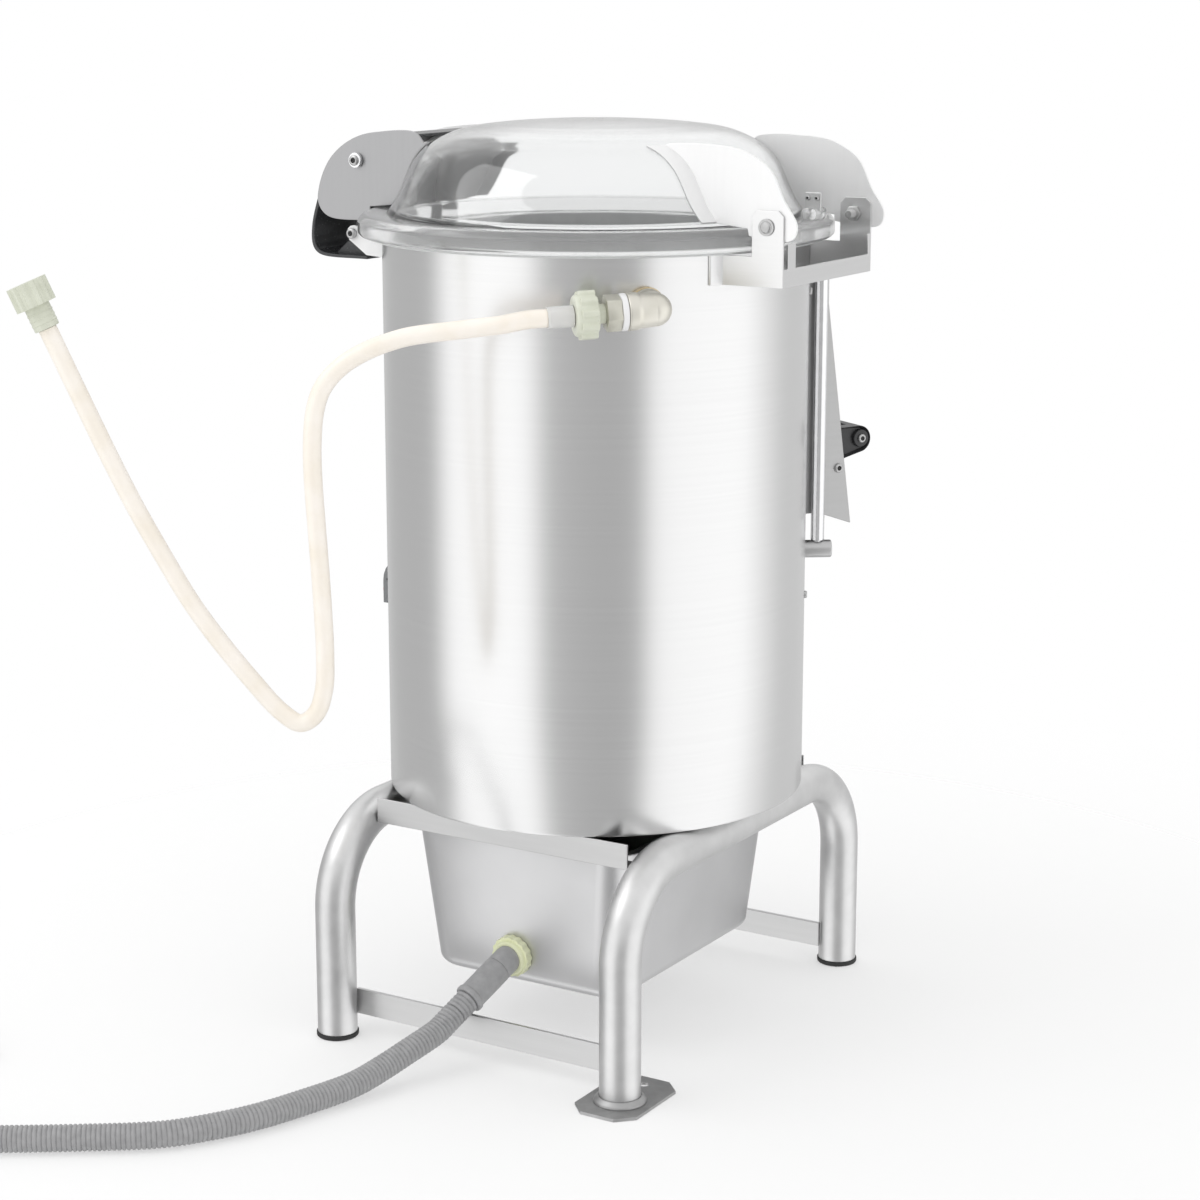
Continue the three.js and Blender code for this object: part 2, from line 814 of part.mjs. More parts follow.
function makeTray() {
  const outer = trayBody(0, trayBottom, trayTop);
  const inner = trayBody(trayWall, trayBottom + trayWall, trayTop + trayWall);
  const rimCorner = trayCorner + trayRimHalfWidth - trayHalfWidth;
  const rimOutline = roundedRectangle(trayRimHalfWidth, trayRimHalfDepth, rimCorner, trayCornerSteps);
  const rim = extrudedUp(rimOutline, trayRimBottom, trayTop);
  const hole = aimed(disc(drainSpigotRadius + pinGap, -cutOverrun, cutOverrun), drainPlace, drainNormal);
  piece(machine, "waste_tray", cut(join(outer, rim), inner, hole), sheetSteel);
}

function makeDrain() {
  const inside = trayWall + seatGap + drainSpigotInside;
  const spigot = disc(drainSpigotRadius, -inside, drainNutHeight);
  const innerNut = disc(drainSpigotRadius + drainLockWidth, -inside, -trayWall - seatGap, drainNutLobes);
  const nut = extrudedUp(lobed(drainNutRadius, drainNutLobes, drainNutLobeDepth), seatGap, drainNutHeight);
  const fitting = aimed(join(spigot, innerNut, nut), drainPlace, drainNormal);
  const elbow = new THREE.SphereGeometry(drainElbowRadius, smallSides, smallSides / 2);
  elbow.translate(drainElbow.x, drainElbow.y, drainElbow.z);
  const barb = aimed(disc(drainBarbRadius, 0, drainBarbLength), drainElbow, drainHeading);
  const waterway = drainBarbRadius - drainBarbWall;
  const barbBore = aimed(disc(waterway, 0, drainBarbLength + cutOverrun), drainElbow, drainHeading);
  const wallBore = aimed(disc(waterway, -inside - cutOverrun, drainNutHeight), drainPlace, drainNormal);
  piece(machine, "drain_outlet", cut(join(fitting, elbow, barb), barbBore, wallBore), paleGreen);

  const barbRoom = drainBarbLength - cuffStart + pinGap;
  const cuffProfile = [
    [drainBarbRadius + pinGap, 0],
    [cuffSocketRadius, 0],
    [cuffSocketRadius, cuffSocketLength - cuffBeadLength],
    [cuffBeadRadius, cuffSocketLength - cuffBeadLength],
    [cuffBeadRadius, cuffSocketLength],
    [cuffTailRadius, cuffSocketLength + cuffBeadLength],
    [cuffTailRadius, cuffLength],
    [hoseBore, cuffLength],
    [hoseBore, barbRoom],
    [drainBarbRadius + pinGap, barbRoom],
  ];
  piece(machine, "drain_cuff", aimed(turned(cuffProfile, smallSides), cuffFoot, drainHeading), hoseGrey);
}

// The drain hose: down from the cuff, along the floor and once round a loop that lies on it.
function drainRoute() {
  const start = cuffEnd.clone().addScaledVector(drainHeading, seatGap);
  const points = [start];
  points.push(start.clone().addScaledVector(drainHeading, hoseCrest));
  points.push(start.clone().addScaledVector(drainHeading, 2 * hoseCrest));
  const chosen = [
    [-34.6, -272.5, 28.5],
    [-42.3, -297.2, 21],
    [-50.3, -333, 14.8],
    [-66.9, -384.9, 12.5],
    [-83.8, -434.5, 12.5],
    [-106.2, -475.6, 12.5],
    [-129.4, -505.8, 12.5],
    [-192, -553, 12.5],
    [-258, -597, 12.5],
    [-325, -641, 12.5],
    [-394, -687, 12.5],
  ];
  for (const [x, y, z] of chosen) points.push(new THREE.Vector3(x, y, z));
  for (let i = 0; i <= hoseLoopPoints; i++) {
    const angle = hoseLoopStart - (hoseLoopTurn * i) / hoseLoopPoints;
    const x = hoseLoopCentre.x + hoseLoopRadius * Math.cos(angle);
    points.push(new THREE.Vector3(x, hoseLoopCentre.y + hoseLoopRadius * Math.sin(angle), hoseRestHeight));
  }
  const endAngle = hoseLoopStart - hoseLoopTurn;
  const heading = new THREE.Vector3(Math.sin(endAngle), -Math.cos(endAngle), 0);
  const loopEnd = points[points.length - 1];
  points.push(loopEnd.clone().addScaledVector(heading, hoseEndStraight / 2));
  points.push(loopEnd.clone().addScaledVector(heading, hoseEndStraight));
  return { points, heading };
}

// Rings of points along a curve, each pair of neighbours joined by a band of triangles.
function ribbedTube(curve) {
  const outerRings = 2 * hoseRibs + 1;
  const boreRings = hoseRibs / hoseRibsPerBoreRing + 1;
  const frames = curve.computeFrenetFrames(outerRings - 1, false);
  const positions = [];
  const triangles = [];
  const addRing = (step, radius) => {
    const centre = curve.getPointAt(step / (outerRings - 1));
    const first = positions.length / 3;
    for (let i = 0; i < hoseSides; i++) {
      const angle = (fullTurn * i) / hoseSides;
      const point = centre.clone();
      point.addScaledVector(frames.normals[step], radius * Math.cos(angle));
      point.addScaledVector(frames.binormals[step], radius * Math.sin(angle));
      positions.push(point.x, point.y, point.z);
    }
    return first;
  };
  const addBand = (from, to) => {
    for (let i = 0; i < hoseSides; i++) {
      const next = (i + 1) % hoseSides;
      triangles.push(from + i, from + next, to + next, from + i, to + next, to + i);
    }
  };
  const outer = [];
  const bore = [];
  for (let i = 0; i < outerRings; i++) outer.push(addRing(i, i % 2 ? hoseCrest : hoseValley));
  for (let i = 0; i < boreRings; i++) bore.push(addRing(2 * hoseRibsPerBoreRing * i, hoseBore));
  for (let i = 0; i < outerRings - 1; i++) addBand(outer[i], outer[i + 1]);
  for (let i = 0; i < boreRings - 1; i++) addBand(bore[i + 1], bore[i]);
  addBand(bore[0], outer[0]);
  addBand(outer[outerRings - 1], bore[boreRings - 1]);
  const geometry = new THREE.BufferGeometry();
  geometry.setAttribute("position", new THREE.Float32BufferAttribute(positions, 3));
  geometry.setIndex(triangles);
  return geometry;
}

function makeDrainHose() {
  const { points, heading } = drainRoute();
  const curve = new THREE.CatmullRomCurve3(points, false, "centripetal");
  piece(machine, "drain_hose", ribbedTube(curve), hoseGrey);
  const cuffProfile = [
    [hoseBore, 0],
    [hoseCrest, 0],
    [hoseCrest, endCuffLength],
    [hoseBore, endCuffLength],
  ];
  const end = points[points.length - 1].clone().addScaledVector(heading, seatGap);
  piece(machine, "drain_end_cuff", aimed(turned(cuffProfile, smallSides), end, heading), hoseGrey);
}

// Drum and what closes it

const doorFrameTurn = doorAngle;

function makeDrum() {
  const shell = ring(drumRadius, drumBore, drumBottom, drumTop, drumSides);
  const opening = block(
    drumBore - drumRadius / 2,
    drumRadius + cutOverrun,
    -openingHalfWidth,
    openingHalfWidth,
    openingBottom,
    openingTop,
  ).rotateZ(doorFrameTurn);
  const radial = new THREE.Vector3(Math.cos(inletAngle), Math.sin(inletAngle), 0);
  const wallPoint = radial.clone().multiplyScalar(drumRadius).setZ(inletHeight);
  const inletHole = aimed(disc(inletThread + pinGap, -2 * cutOverrun, cutOverrun), wallPoint, radial);
  piece(machine, "drum_shell", cut(shell, opening, inletHole), steel);

  const plateRadius = drumBore - seatGap - drumWall;
  const base = disc(plateRadius, drumBottom, drumBottom + basePlateThickness, drumSides);
  const spoutHole = disc(spoutRadius + pinGap, drumBottom - cutOverrun, drumBottom + 2 * cutOverrun);
  piece(machine, "base_plate", cut(base, spoutHole.translate(spoutOffset.x, spoutOffset.y, 0)), sheetSteel);

  const sealBottom = drumTop + seatGap;
  const skirt = drumBore - seatGap - drumWall;
  const sealProfile = [
    [drumRadius - sealInset, sealBottom - sealSkirt],
    [skirt, sealBottom - sealSkirt],
    [skirt, sealBottom],
    [drumRadius + sealOutset, sealBottom],
    [drumRadius + sealOutset, sealBottom + sealThickness],
    [drumRadius - sealInset, sealBottom + sealThickness],
  ];
  piece(machine, "lid_seal", turned(sealProfile, drumSides), whitePlastic);
}

function makeChamber() {
  const floorTop = chamberFloorHeight + chamberFloorThickness;
  const floor = disc(chamberWallRadius, chamberFloorHeight, floorTop, drumSides);
  const shaftHole = disc(shaftRadius + linerGap, chamberFloorHeight - cutOverrun, floorTop + cutOverrun);
  const wasteHole = disc(spoutRadius - spoutWall, chamberFloorHeight - cutOverrun, floorTop + cutOverrun);
  wasteHole.translate(spoutOffset.x, spoutOffset.y, 0);
  piece(machine, "chamber_floor", cut(floor, shaftHole, wasteHole), sheetSteel);

  const linerBottom = floorTop + seatGap;
  const liner = ring(chamberWallRadius, chamberWallRadius - linerThickness, linerBottom, linerTop, drumSides);
  const doorway = block(
    drumRadius / 2,
    drumRadius,
    -openingHalfWidth,
    openingHalfWidth,
    openingBottom,
    linerTop + cutOverrun,
  ).rotateZ(doorFrameTurn);
  piece(machine, "abrasive_liner", cut(liner, doorway), abrasive);

  const flangeTop = chamberFloorHeight - seatGap;
  const spoutProfile = [
    [spoutRadius - spoutWall, spoutEnd],
    [spoutRadius, spoutEnd],
    [spoutRadius, flangeTop - spoutFlangeHeight],
    [spoutFlange, flangeTop - spoutFlangeHeight],
    [spoutFlange, flangeTop],
    [spoutRadius - spoutWall, flangeTop],
  ];
  const spout = turned(spoutProfile, roundSides).translate(spoutOffset.x, spoutOffset.y, 0);
  piece(machine, "waste_spout", spout, greyPlastic);
}

// Drive

function pulleyRim(radius) {
  const half = pulleyHeight / 2;
  const groove = radius - pulleyGroove - beltGap;
  const mouth = beltHeight / 2 + beltGap;
  return [
    [radius, -half],
    [radius, -mouth],
    [groove, -mouth],
    [groove, mouth],
    [radius, mouth],
    [radius, half],
  ];
}

// The belt's outline round both pulleys, at a distance beyond the grooves.
function beltOutline(extra) {
  const large = drivenPulleyRadius - pulleyGroove + extra;
  const small = motorPulleyRadius - pulleyGroove + extra;
  const lean = Math.acos((large - small) / motorOrbit);
  const points = [];
  for (let i = 0; i <= 2 * beltArcSteps; i++) {
    const angle = lean + ((fullTurn - 2 * lean) * i) / (2 * beltArcSteps);
    points.push([large * Math.cos(angle), large * Math.sin(angle)]);
  }
  for (let i = 0; i <= beltArcSteps; i++) {
    const angle = -lean + (2 * lean * i) / beltArcSteps;
    points.push([motorOrbit + small * Math.cos(angle), small * Math.sin(angle)]);
  }
  return points;
}

function makeDrive() {
  const bearingSeat = bearingRadius + seatGap;
  const housingProfile = [
    [housingBore, housingBottom + bearingHeight + seatGap],
    [bearingSeat, housingBottom + bearingHeight + seatGap],
    [bearingSeat, housingBottom],
    [housingRadius, housingBottom],
    [housingRadius, housingTop - housingFlangeHeight],
    [housingFlange, housingTop - housingFlangeHeight],
    [housingFlange, housingTop],
    [bearingSeat, housingTop],
    [bearingSeat, housingTop - bearingHeight - seatGap],
    [housingBore, housingTop - bearingHeight - seatGap],
  ];
  piece(machine, "bearing_housing", turned(housingProfile, roundSides), castIron);
  const bearingBore = shaftRadius + bearingClearance;
  const upperBearing = ring(bearingRadius, bearingBore, housingTop - bearingHeight, housingTop);
  piece(machine, "upper_bearing", upperBearing, steel);
  const lowerBearing = ring(bearingRadius, bearingBore, housingBottom, housingBottom + bearingHeight);
  piece(machine, "lower_bearing", lowerBearing, steel);

  const plateBottom = chamberFloorHeight + chamberFloorThickness + peelingPlateLift;
  const plateTop = plateBottom + peelingPlateThickness;
  const shaftBottom = pulleyPlane - pulleyHeight / 2 - cutOverrun;
  const shaftProfile = [
    [0, shaftBottom],
    [pulleyBore - seatGap, shaftBottom],
    [pulleyBore - seatGap, pulleyPlane + pulleyHeight / 2 + seatGap],
    [shaftRadius, pulleyPlane + pulleyHeight / 2 + seatGap],
    [shaftRadius, plateBottom - seatGap],
    [shaftSeatRadius, plateBottom - seatGap],
    [shaftSeatRadius, plateTop],
    [0, plateTop],
  ];
  piece(spindle, "drive_shaft", turned(shaftProfile, roundSides), steel);
  const half = pulleyHeight / 2;
  const drivenProfile = [[pulleyBore, -half], ...pulleyRim(drivenPulleyRadius), [pulleyBore, half]];
  const drivenPulley = turned(drivenProfile, pulleySides).translate(0, 0, pulleyPlane);
  piece(spindle, "driven_pulley", drivenPulley, castIron);

  const hubTop = plateTop + shaftHubHeight;
  const plateProfile = [
    [shaftSeatRadius + seatGap, plateBottom],
    [peelingPlateRadius, plateBottom],
    [peelingPlateRadius, plateTop],
    [shaftHubRadius, plateTop],
    [shaftSeatRadius + linerGap, hubTop],
    [0, hubTop],
    [0, plateTop + seatGap],
    [shaftSeatRadius + seatGap, plateTop + seatGap],
  ];
  const ridges = [];
  for (let i = 0; i < peelingRidgeCount; i++) {
    const ridge = disc(peelingRidgeRadius, peelingRidgeInner, peelingRidgeOuter, smallSides);
    ridge.rotateY(rightAngle).translate(0, 0, plateTop - peelingRidgeRadius / 3);
    ridges.push(ridge.rotateZ((fullTurn * i) / peelingRidgeCount));
  }
  piece(spindle, "peeling_plate", join(turned(plateProfile, drumSides), ...ridges), abrasive);

  const motorFoot = block(-motorFootHalf, motorFootHalf, -motorFootHalf, motorFootHalf, motorBase, motorBodyBottom);
  const terminalReach = motorRadius + motorTerminalReach;
  const terminalBox = block(
    0,
    terminalReach,
    -motorTerminalHalf,
    motorTerminalHalf,
    motorBodyBottom + motorTerminalHalf,
    motorBodyBottom + 3 * motorTerminalHalf,
  ).rotateZ(motorAngle + rightAngle);
  const motorBody = disc(motorRadius, motorBodyBottom - footRim, motorTop, roundSides);
  const motor = join(motorFoot, terminalBox, motorBody).translate(motorAxis.x, motorAxis.y, 0);
  piece(machine, "motor", motor, motorGrey);

  const motorShaftBottom = motorTop - pulleyPlane + seatGap;
  const motorPulleyProfile = [
    [0, motorShaftBottom],
    [motorShaftRadius, motorShaftBottom],
    [motorShaftRadius, -half],
    ...pulleyRim(motorPulleyRadius),
    [motorShaftRadius, half],
    [motorShaftRadius, pulleyHeight],
    [0, pulleyHeight],
  ];
  const motorPulley = turned(motorPulleyProfile, roundSides);
  piece(motorRotor, "motor_pulley", motorPulley.translate(motorAxis.x, motorAxis.y, pulleyPlane), castIron);

  const belt = extrudedUp(beltOutline(beltThickness), -beltHeight / 2, beltHeight / 2);
  const beltRoom = extrudedUp(beltOutline(0), -beltHeight, beltHeight);
  piece(machine, "v_belt", cut(belt, beltRoom).rotateZ(motorAngle).translate(0, 0, pulleyPlane), rubber);
}

// Water inlet

const inletRadial = new THREE.Vector3(Math.cos(inletAngle), Math.sin(inletAngle), 0);
const inletBend = inletRadial.clone().multiplyScalar(inletBendRadius).setZ(inletHeight);
const inletAxisFoot = new THREE.Vector3(0, 0, inletHeight);
const washerStart = elbowOutlet + seatGap;
const nippleStart = washerStart + washerThickness;
const unionStart = nippleStart + nippleHexLength + seatGap;
const sleeveStart = unionStart + unionNutLength + seatGap;
const waterHoseStart = sleeveStart + sleeveLength + seatGap;

function makeInlet() {
  const bushEnd = drumRadius + seatGap + inletFlangeHeight;
  const waterway = inletBushBore;
  const bushProfile = [
    [waterway, drumRadius - inletBushInside],
    [inletThread, drumRadius - inletBushInside],
    [inletThread, drumRadius + seatGap],
    [inletFlange, drumRadius + seatGap],
    [inletFlange, bushEnd],
    [inletThread, bushEnd],
    [inletThread, bushEnd + inletFlangeHeight],
    [waterway, bushEnd + inletFlangeHeight],
  ];
  const bush = aimed(turned(bushProfile, smallSides), inletAxisFoot, inletRadial);
  const lockNut = ring(inletFlange, waterway, drumBore - inletLockNut - drumWall, drumBore - drumWall, 6);
  const nut = aimed(lockNut, inletAxisFoot, inletRadial);
  piece(machine, "inlet_bush", join(bush, nut), brass);

  const socket = disc(elbowRadius, bushEnd + seatGap, inletBendRadius);
  const outlet = disc(elbowRadius, 0, elbowOutlet);
  const collar = disc(elbowCollarRadius, elbowOutlet - elbowCollarLength, elbowOutlet);
  const bend = new THREE.SphereGeometry(elbowBendRadius, smallSides, smallSides / 2);
  bend.translate(inletBend.x, inletBend.y, inletBend.z);
  const socketBore = disc(inletThread + pinGap, bushEnd - cutOverrun, inletBendRadius);
  const outletBore = disc(inletThread + pinGap, 0, elbowOutlet + cutOverrun);
  const body = join(
    aimed(socket, inletAxisFoot, inletRadial),
    aimed(join(outlet, collar), inletBend, inletHeading),
    bend,
  );
  const bores = [aimed(socketBore, inletAxisFoot, inletRadial), aimed(outletBore, inletBend, inletHeading)];
  piece(machine, "inlet_elbow", cut(body, ...bores), nickel);

  const hexEnd = nippleStart + nippleHexLength;
  const thread = ring(inletThread, inletWaterway, elbowOutlet - elbowCollarLength, hexEnd + elbowCollarLength);
  const washer = ring(washerRadius, inletWaterway, washerStart, nippleStart + footRim);
  const hex = ring(nippleHexRadius, inletWaterway, nippleStart, hexEnd, 6);
  piece(machine, "inlet_nipple", aimed(join(thread, washer, hex), inletBend, inletHeading), nickel);

  const nutBody = extrudedUp(lobed(unionNutRadius, unionNutRibs, unionNutRibDepth), unionStart, sleeveStart - seatGap);
  const nutSocket = disc(inletThread + pinGap, unionStart - cutOverrun, hexEnd + elbowCollarLength + seatGap);
  const nutHole = disc(inletWaterway, unionStart, sleeveStart + cutOverrun);
  piece(machine, "union_nut", aimed(cut(nutBody, nutSocket, nutHole), inletBend, inletHeading), paleGreen);

  const sleeve = ring(sleeveRadius, sleeveBore, sleeveStart, sleeveStart + sleeveLength, smallSides);
  piece(machine, "hose_sleeve", aimed(sleeve, inletBend, inletHeading), clearPlastic);
}

// The water hose: out of its sleeve, down in a long sag and up to the tap that holds its other end.
function makeWaterHose() {
  const start = inletBend.clone().addScaledVector(inletHeading, waterHoseStart);
  const points = [start, start.clone().addScaledVector(inletHeading, 2 * waterHoseRadius)];
  const chosen = [
    [68.4, -265.4, 701.7],
    [50.4, -276.5, 699.2],
    [32.4, -287.6, 696.6],
    [10.7, -300.9, 693.6],
    [-3.7, -309.8, 690.2],
    [-28.4, -325, 679.6],
    [-48.1, -337.1, 665.1],
    [-60.7, -344.9, 647.5],
    [-66.5, -348.4, 627.4],
    [-68.9, -349.9, 598.1],
    [-68.8, -349.8, 568.7],
    [-67.3, -348.9, 533.8],
    [-65.2, -347.6, 489],
    [-63.7, -346.7, 450],
    [-63, -346.2, 413.5],
    [-64.3, -347, 383.9],
    [-70.5, -351, 362],
    [-82, -358, 353],
    [-96.5, -366.8, 363.5],
    [-118.2, -380.2, 392.9],
    [-141.7, -394.7, 428.7],
    [-160.7, -406.4, 461.6],
    [-180.8, -418.7, 504],
    [-199, -430, 545],
    [-216.2, -440.5, 588],
    [-235, -452, 638],
    [-252, -462.5, 684],
  ];
  for (const [x, y, z] of chosen) points.push(new THREE.Vector3(x, y, z));
  const last = points[points.length - 1];
  const heading = last.clone().sub(points[points.length - 2]).normalize();
  const end = last.clone().addScaledVector(heading, 2 * waterHoseRadius);
  points.push(end);
  const curve = new THREE.CatmullRomCurve3(points, false, "centripetal");
  piece(machine, "inlet_hose", sweptTube(curve, waterHoseSteps, waterHoseRadius, 0, waterHoseSides), hoseCream);

  const bore = tapBore;
  const nutBottom = seatGap + tapTailLength;
  const tail = ring(tapTailRadius, bore, seatGap, nutBottom, roundSides);
  const nutOutline = lobed(tapNutRadius, unionNutRibs, unionNutRibDepth);
  const nut = extrudedUp(nutOutline, nutBottom - footRim, nutBottom + tapNutLength);
  const through = disc(bore, 0, nutBottom + tapNutLength + cutOverrun);
  const mouth = disc(inletThread, nutBottom + footRim, nutBottom + tapNutLength + cutOverrun);
  piece(machine, "tap_connector", aimed(cut(join(tail, nut), through, mouth), end, heading), paleGreen);
}

// Lid

// The dome's outer line, from the rim to the crown, moved inwards by an inset.
function domeLine(inset) {
  return domeRadiusShares.map((share, i) => {
    const radius = share * domeRadius - inset;
    return [radius, lidRimTop + domeHeightShares[i] * domeRise - (inset && i ? inset : 0)];
  });
}

function lidProfile() {
  const crown = lidRimTop + domeRise;
  const inner = domeLine(domeWall).filter((point, i) => i % 2 === 0).reverse();
  return [
    [0, crown - domeWall],
    ...inner,
    [domeRadius - domeWall, lidBase],
    [lidRimRadius - lidRimRound / 2, lidBase],
    [lidRimRadius, lidBase + lidRimRound / 2],
    [lidRimRadius, lidRimTop - lidRimRound],
    [lidRimRadius - lidRimRound / 3, lidRimTop - lidRimRound / 3],
    [lidRimRadius - lidRimRound, lidRimTop],
    ...domeLine(0),
    [0, crown],
  ];
}

// Everything inside the lid's outer surface, with a gap around it, for trimming what sits on it.
function lidEnvelope() {
  const crown = lidRimTop + domeRise + seatGap;
  const dome = domeLine(-seatGap).map(([radius, height]) => [radius, height + seatGap]);
  const profile = [
    [0, lidBase - cutOverrun],
    [lidRimRadius + seatGap, lidBase - cutOverrun],
    [lidRimRadius + seatGap, lidRimTop - lidRimRound + seatGap],
    [lidRimRadius - lidRimRound / 3 + seatGap, lidRimTop - lidRimRound / 3 + seatGap],
    [lidRimRadius - lidRimRound + seatGap, lidRimTop + seatGap],
    ...dome,
    [0, crown],
  ];
  return turned(profile, domeSides);
}

// The dome alone, thickened by a sheet that lies on it.
function domeJacket() {
  const extra = seatGap + lidPlateSheet;
  const dome = domeLine(-extra).map(([radius, height]) => [radius, height + extra]);
  const foot = lidRimTop + seatGap;
  return turned([[0, foot], [domeRadius + extra, foot], ...dome, [0, lidRimTop + domeRise + extra]], domeSides);
}

function across(radius, halfSpan, place) {
  return disc(radius, -halfSpan, halfSpan, smallSides).rotateX(rightAngle).translate(place.x, 0, place.z);
}

function ordered(first, second) {
  return first < second ? [first, second] : [second, first];
}

// A lid plate: flat, trimmed to the lid, with a strip folded outward along the dome.
function lidPlate(outline, inner, outer, envelope, jacket, hole) {
  const side = Math.sign(outer);
  const reach = side > 0 ? Math.max(inner, outer) : Math.min(inner, outer);
  const flat = extrudedAcross(outline, ...ordered(inner, outer));
  const strip = extrudedAcross(outline, ...ordered(reach - side * lidPlateSheet, reach + side * lidPlateStrip));
  return cut(join(flat, common(strip, jacket)), envelope, hole);
}

function makeLid() {
  piece(lid, "lid_dome", turned(lidProfile(), domeSides), clearPlastic);
  const envelope = lidEnvelope();
  const jacket = domeJacket();
  const hingeOutline = laidOut(hingePlateShares, hingePlateLength, hingePlateHeight, hingeAxis.x, hingeAxis.z);
  const hingeHole = across(hingeBoltRadius + pinGap, lidRimRadius, hingeAxis);
  const nearFace = -(bracketHalfWidth - bracketSheet - seatGap);
  const farFace = bracketHalfWidth + seatGap;
  const hingeSpans = [
    ["near", nearFace + lidPlateSheet, nearFace],
    ["far", farFace, farFace + lidPlateSheet],
  ];
  for (const [name, inner, outer] of hingeSpans) {
    const plate = lidPlate(hingeOutline, inner, outer, envelope, jacket, hingeHole);
    piece(lid, `hinge_plate_${name}`, plate, sheetSteel);
  }
  const latchOutline = laidOut(latchPlateShares, latchPlateLength, latchPlateHeight, latchAxis.x, latchAxis.z);
  const latchHole = across(latchPinRadius + pinGap, lidRimRadius, latchAxis);
  for (const [side, name] of [[-1, "near"], [1, "far"]]) {
    const outer = side * latchPlateHalfSpan;
    const inner = outer - side * lidPlateSheet;
    const plate = lidPlate(latchOutline, inner, outer, envelope, jacket, latchHole);
    piece(lid, `latch_plate_${name}`, plate, sheetSteel);
  }
  const coverSpan = latchPlateHalfSpan - lidPlateSheet - seatGap;
  const coverTop = laidOut(coverShares, latchPlateLength, latchPlateHeight, latchAxis.x, latchAxis.z);
  const coverUnder = coverTop.map(([x, z]) => [x, z - coverSheet]).reverse();
  const cover = extrudedAcross([...coverTop, ...coverUnder], -coverSpan, coverSpan);
  piece(lid, "latch_cover", cut(cover, envelope), blackPlastic);
  const pinHead = latchPlateHalfSpan + seatGap;
  const shank = disc(latchPinRadius, -pinHead - boltHeadHeight, pinHead + boltHeadHeight, smallSides);
  const heads = [-1, 1].map((side) => {
    return disc(boltHeadRadius, ...ordered(side * pinHead, side * (pinHead + boltHeadHeight)), smallSides);
  });
  const pin = join(shank, ...heads).rotateX(rightAngle).translate(latchAxis.x, 0, latchAxis.z);
  piece(lid, "latch_pivot_pin", pin, steel);
}

function makeLatch() {
  const outline = [
    ...laidOut(handleOuterShares, handleLength, handleDrop, latchAxis.x, latchAxis.z),
    ...laidOut(handleInnerShares, handleLength, handleDrop, latchAxis.x, latchAxis.z),
  ];
  const scoop = extrudedAcross(outline, -handleSpan, handleSpan);
  const armOutline = laidOut(armShares, handleLength, handleDrop, latchAxis.x, latchAxis.z);
  const arms = [-1, 1].map((side) => {
    return extrudedAcross(armOutline, ...ordered(side * armSpan, side * (armSpan - armSheet)));
  });
  const bore = across(latchPinRadius + pinGap, handleSpan, latchAxis);
  piece(latch, "latch_handle", cut(join(scoop, ...arms), bore), blackPlastic);

  const catchAxis = new THREE.Vector3(-(drumRadius + catchReach), 0, drumTop - catchDrop);
  const lugOutline = laidOut(catchLugShares, -catchReach, catchRootDepth, -drumRadius, drumTop);
  for (const [side, name] of [[-1, "near"], [1, "far"]]) {
    const ends = ordered(side * catchSpan, side * (catchSpan + catchSheet));
    const bar = extrudedAcross(lugOutline, ...ends);
    const head = disc(catchHeadRadius, -ends[1], -ends[0]).rotateX(rightAngle).translate(catchAxis.x, 0, catchAxis.z);
    const hole = across(catchPinRadius + pinGap, drumRadius, catchAxis);
    piece(machine, `catch_lug_${name}`, cut(join(bar, head), drumEnvelope(seatGap), hole), whitePlastic);
  }
  const pinEnd = catchSpan + catchSheet + catchSheet;
  piece(machine, "catch_pin", across(catchPinRadius, pinEnd, catchAxis), steel);
}

// Hinge bracket and bolts

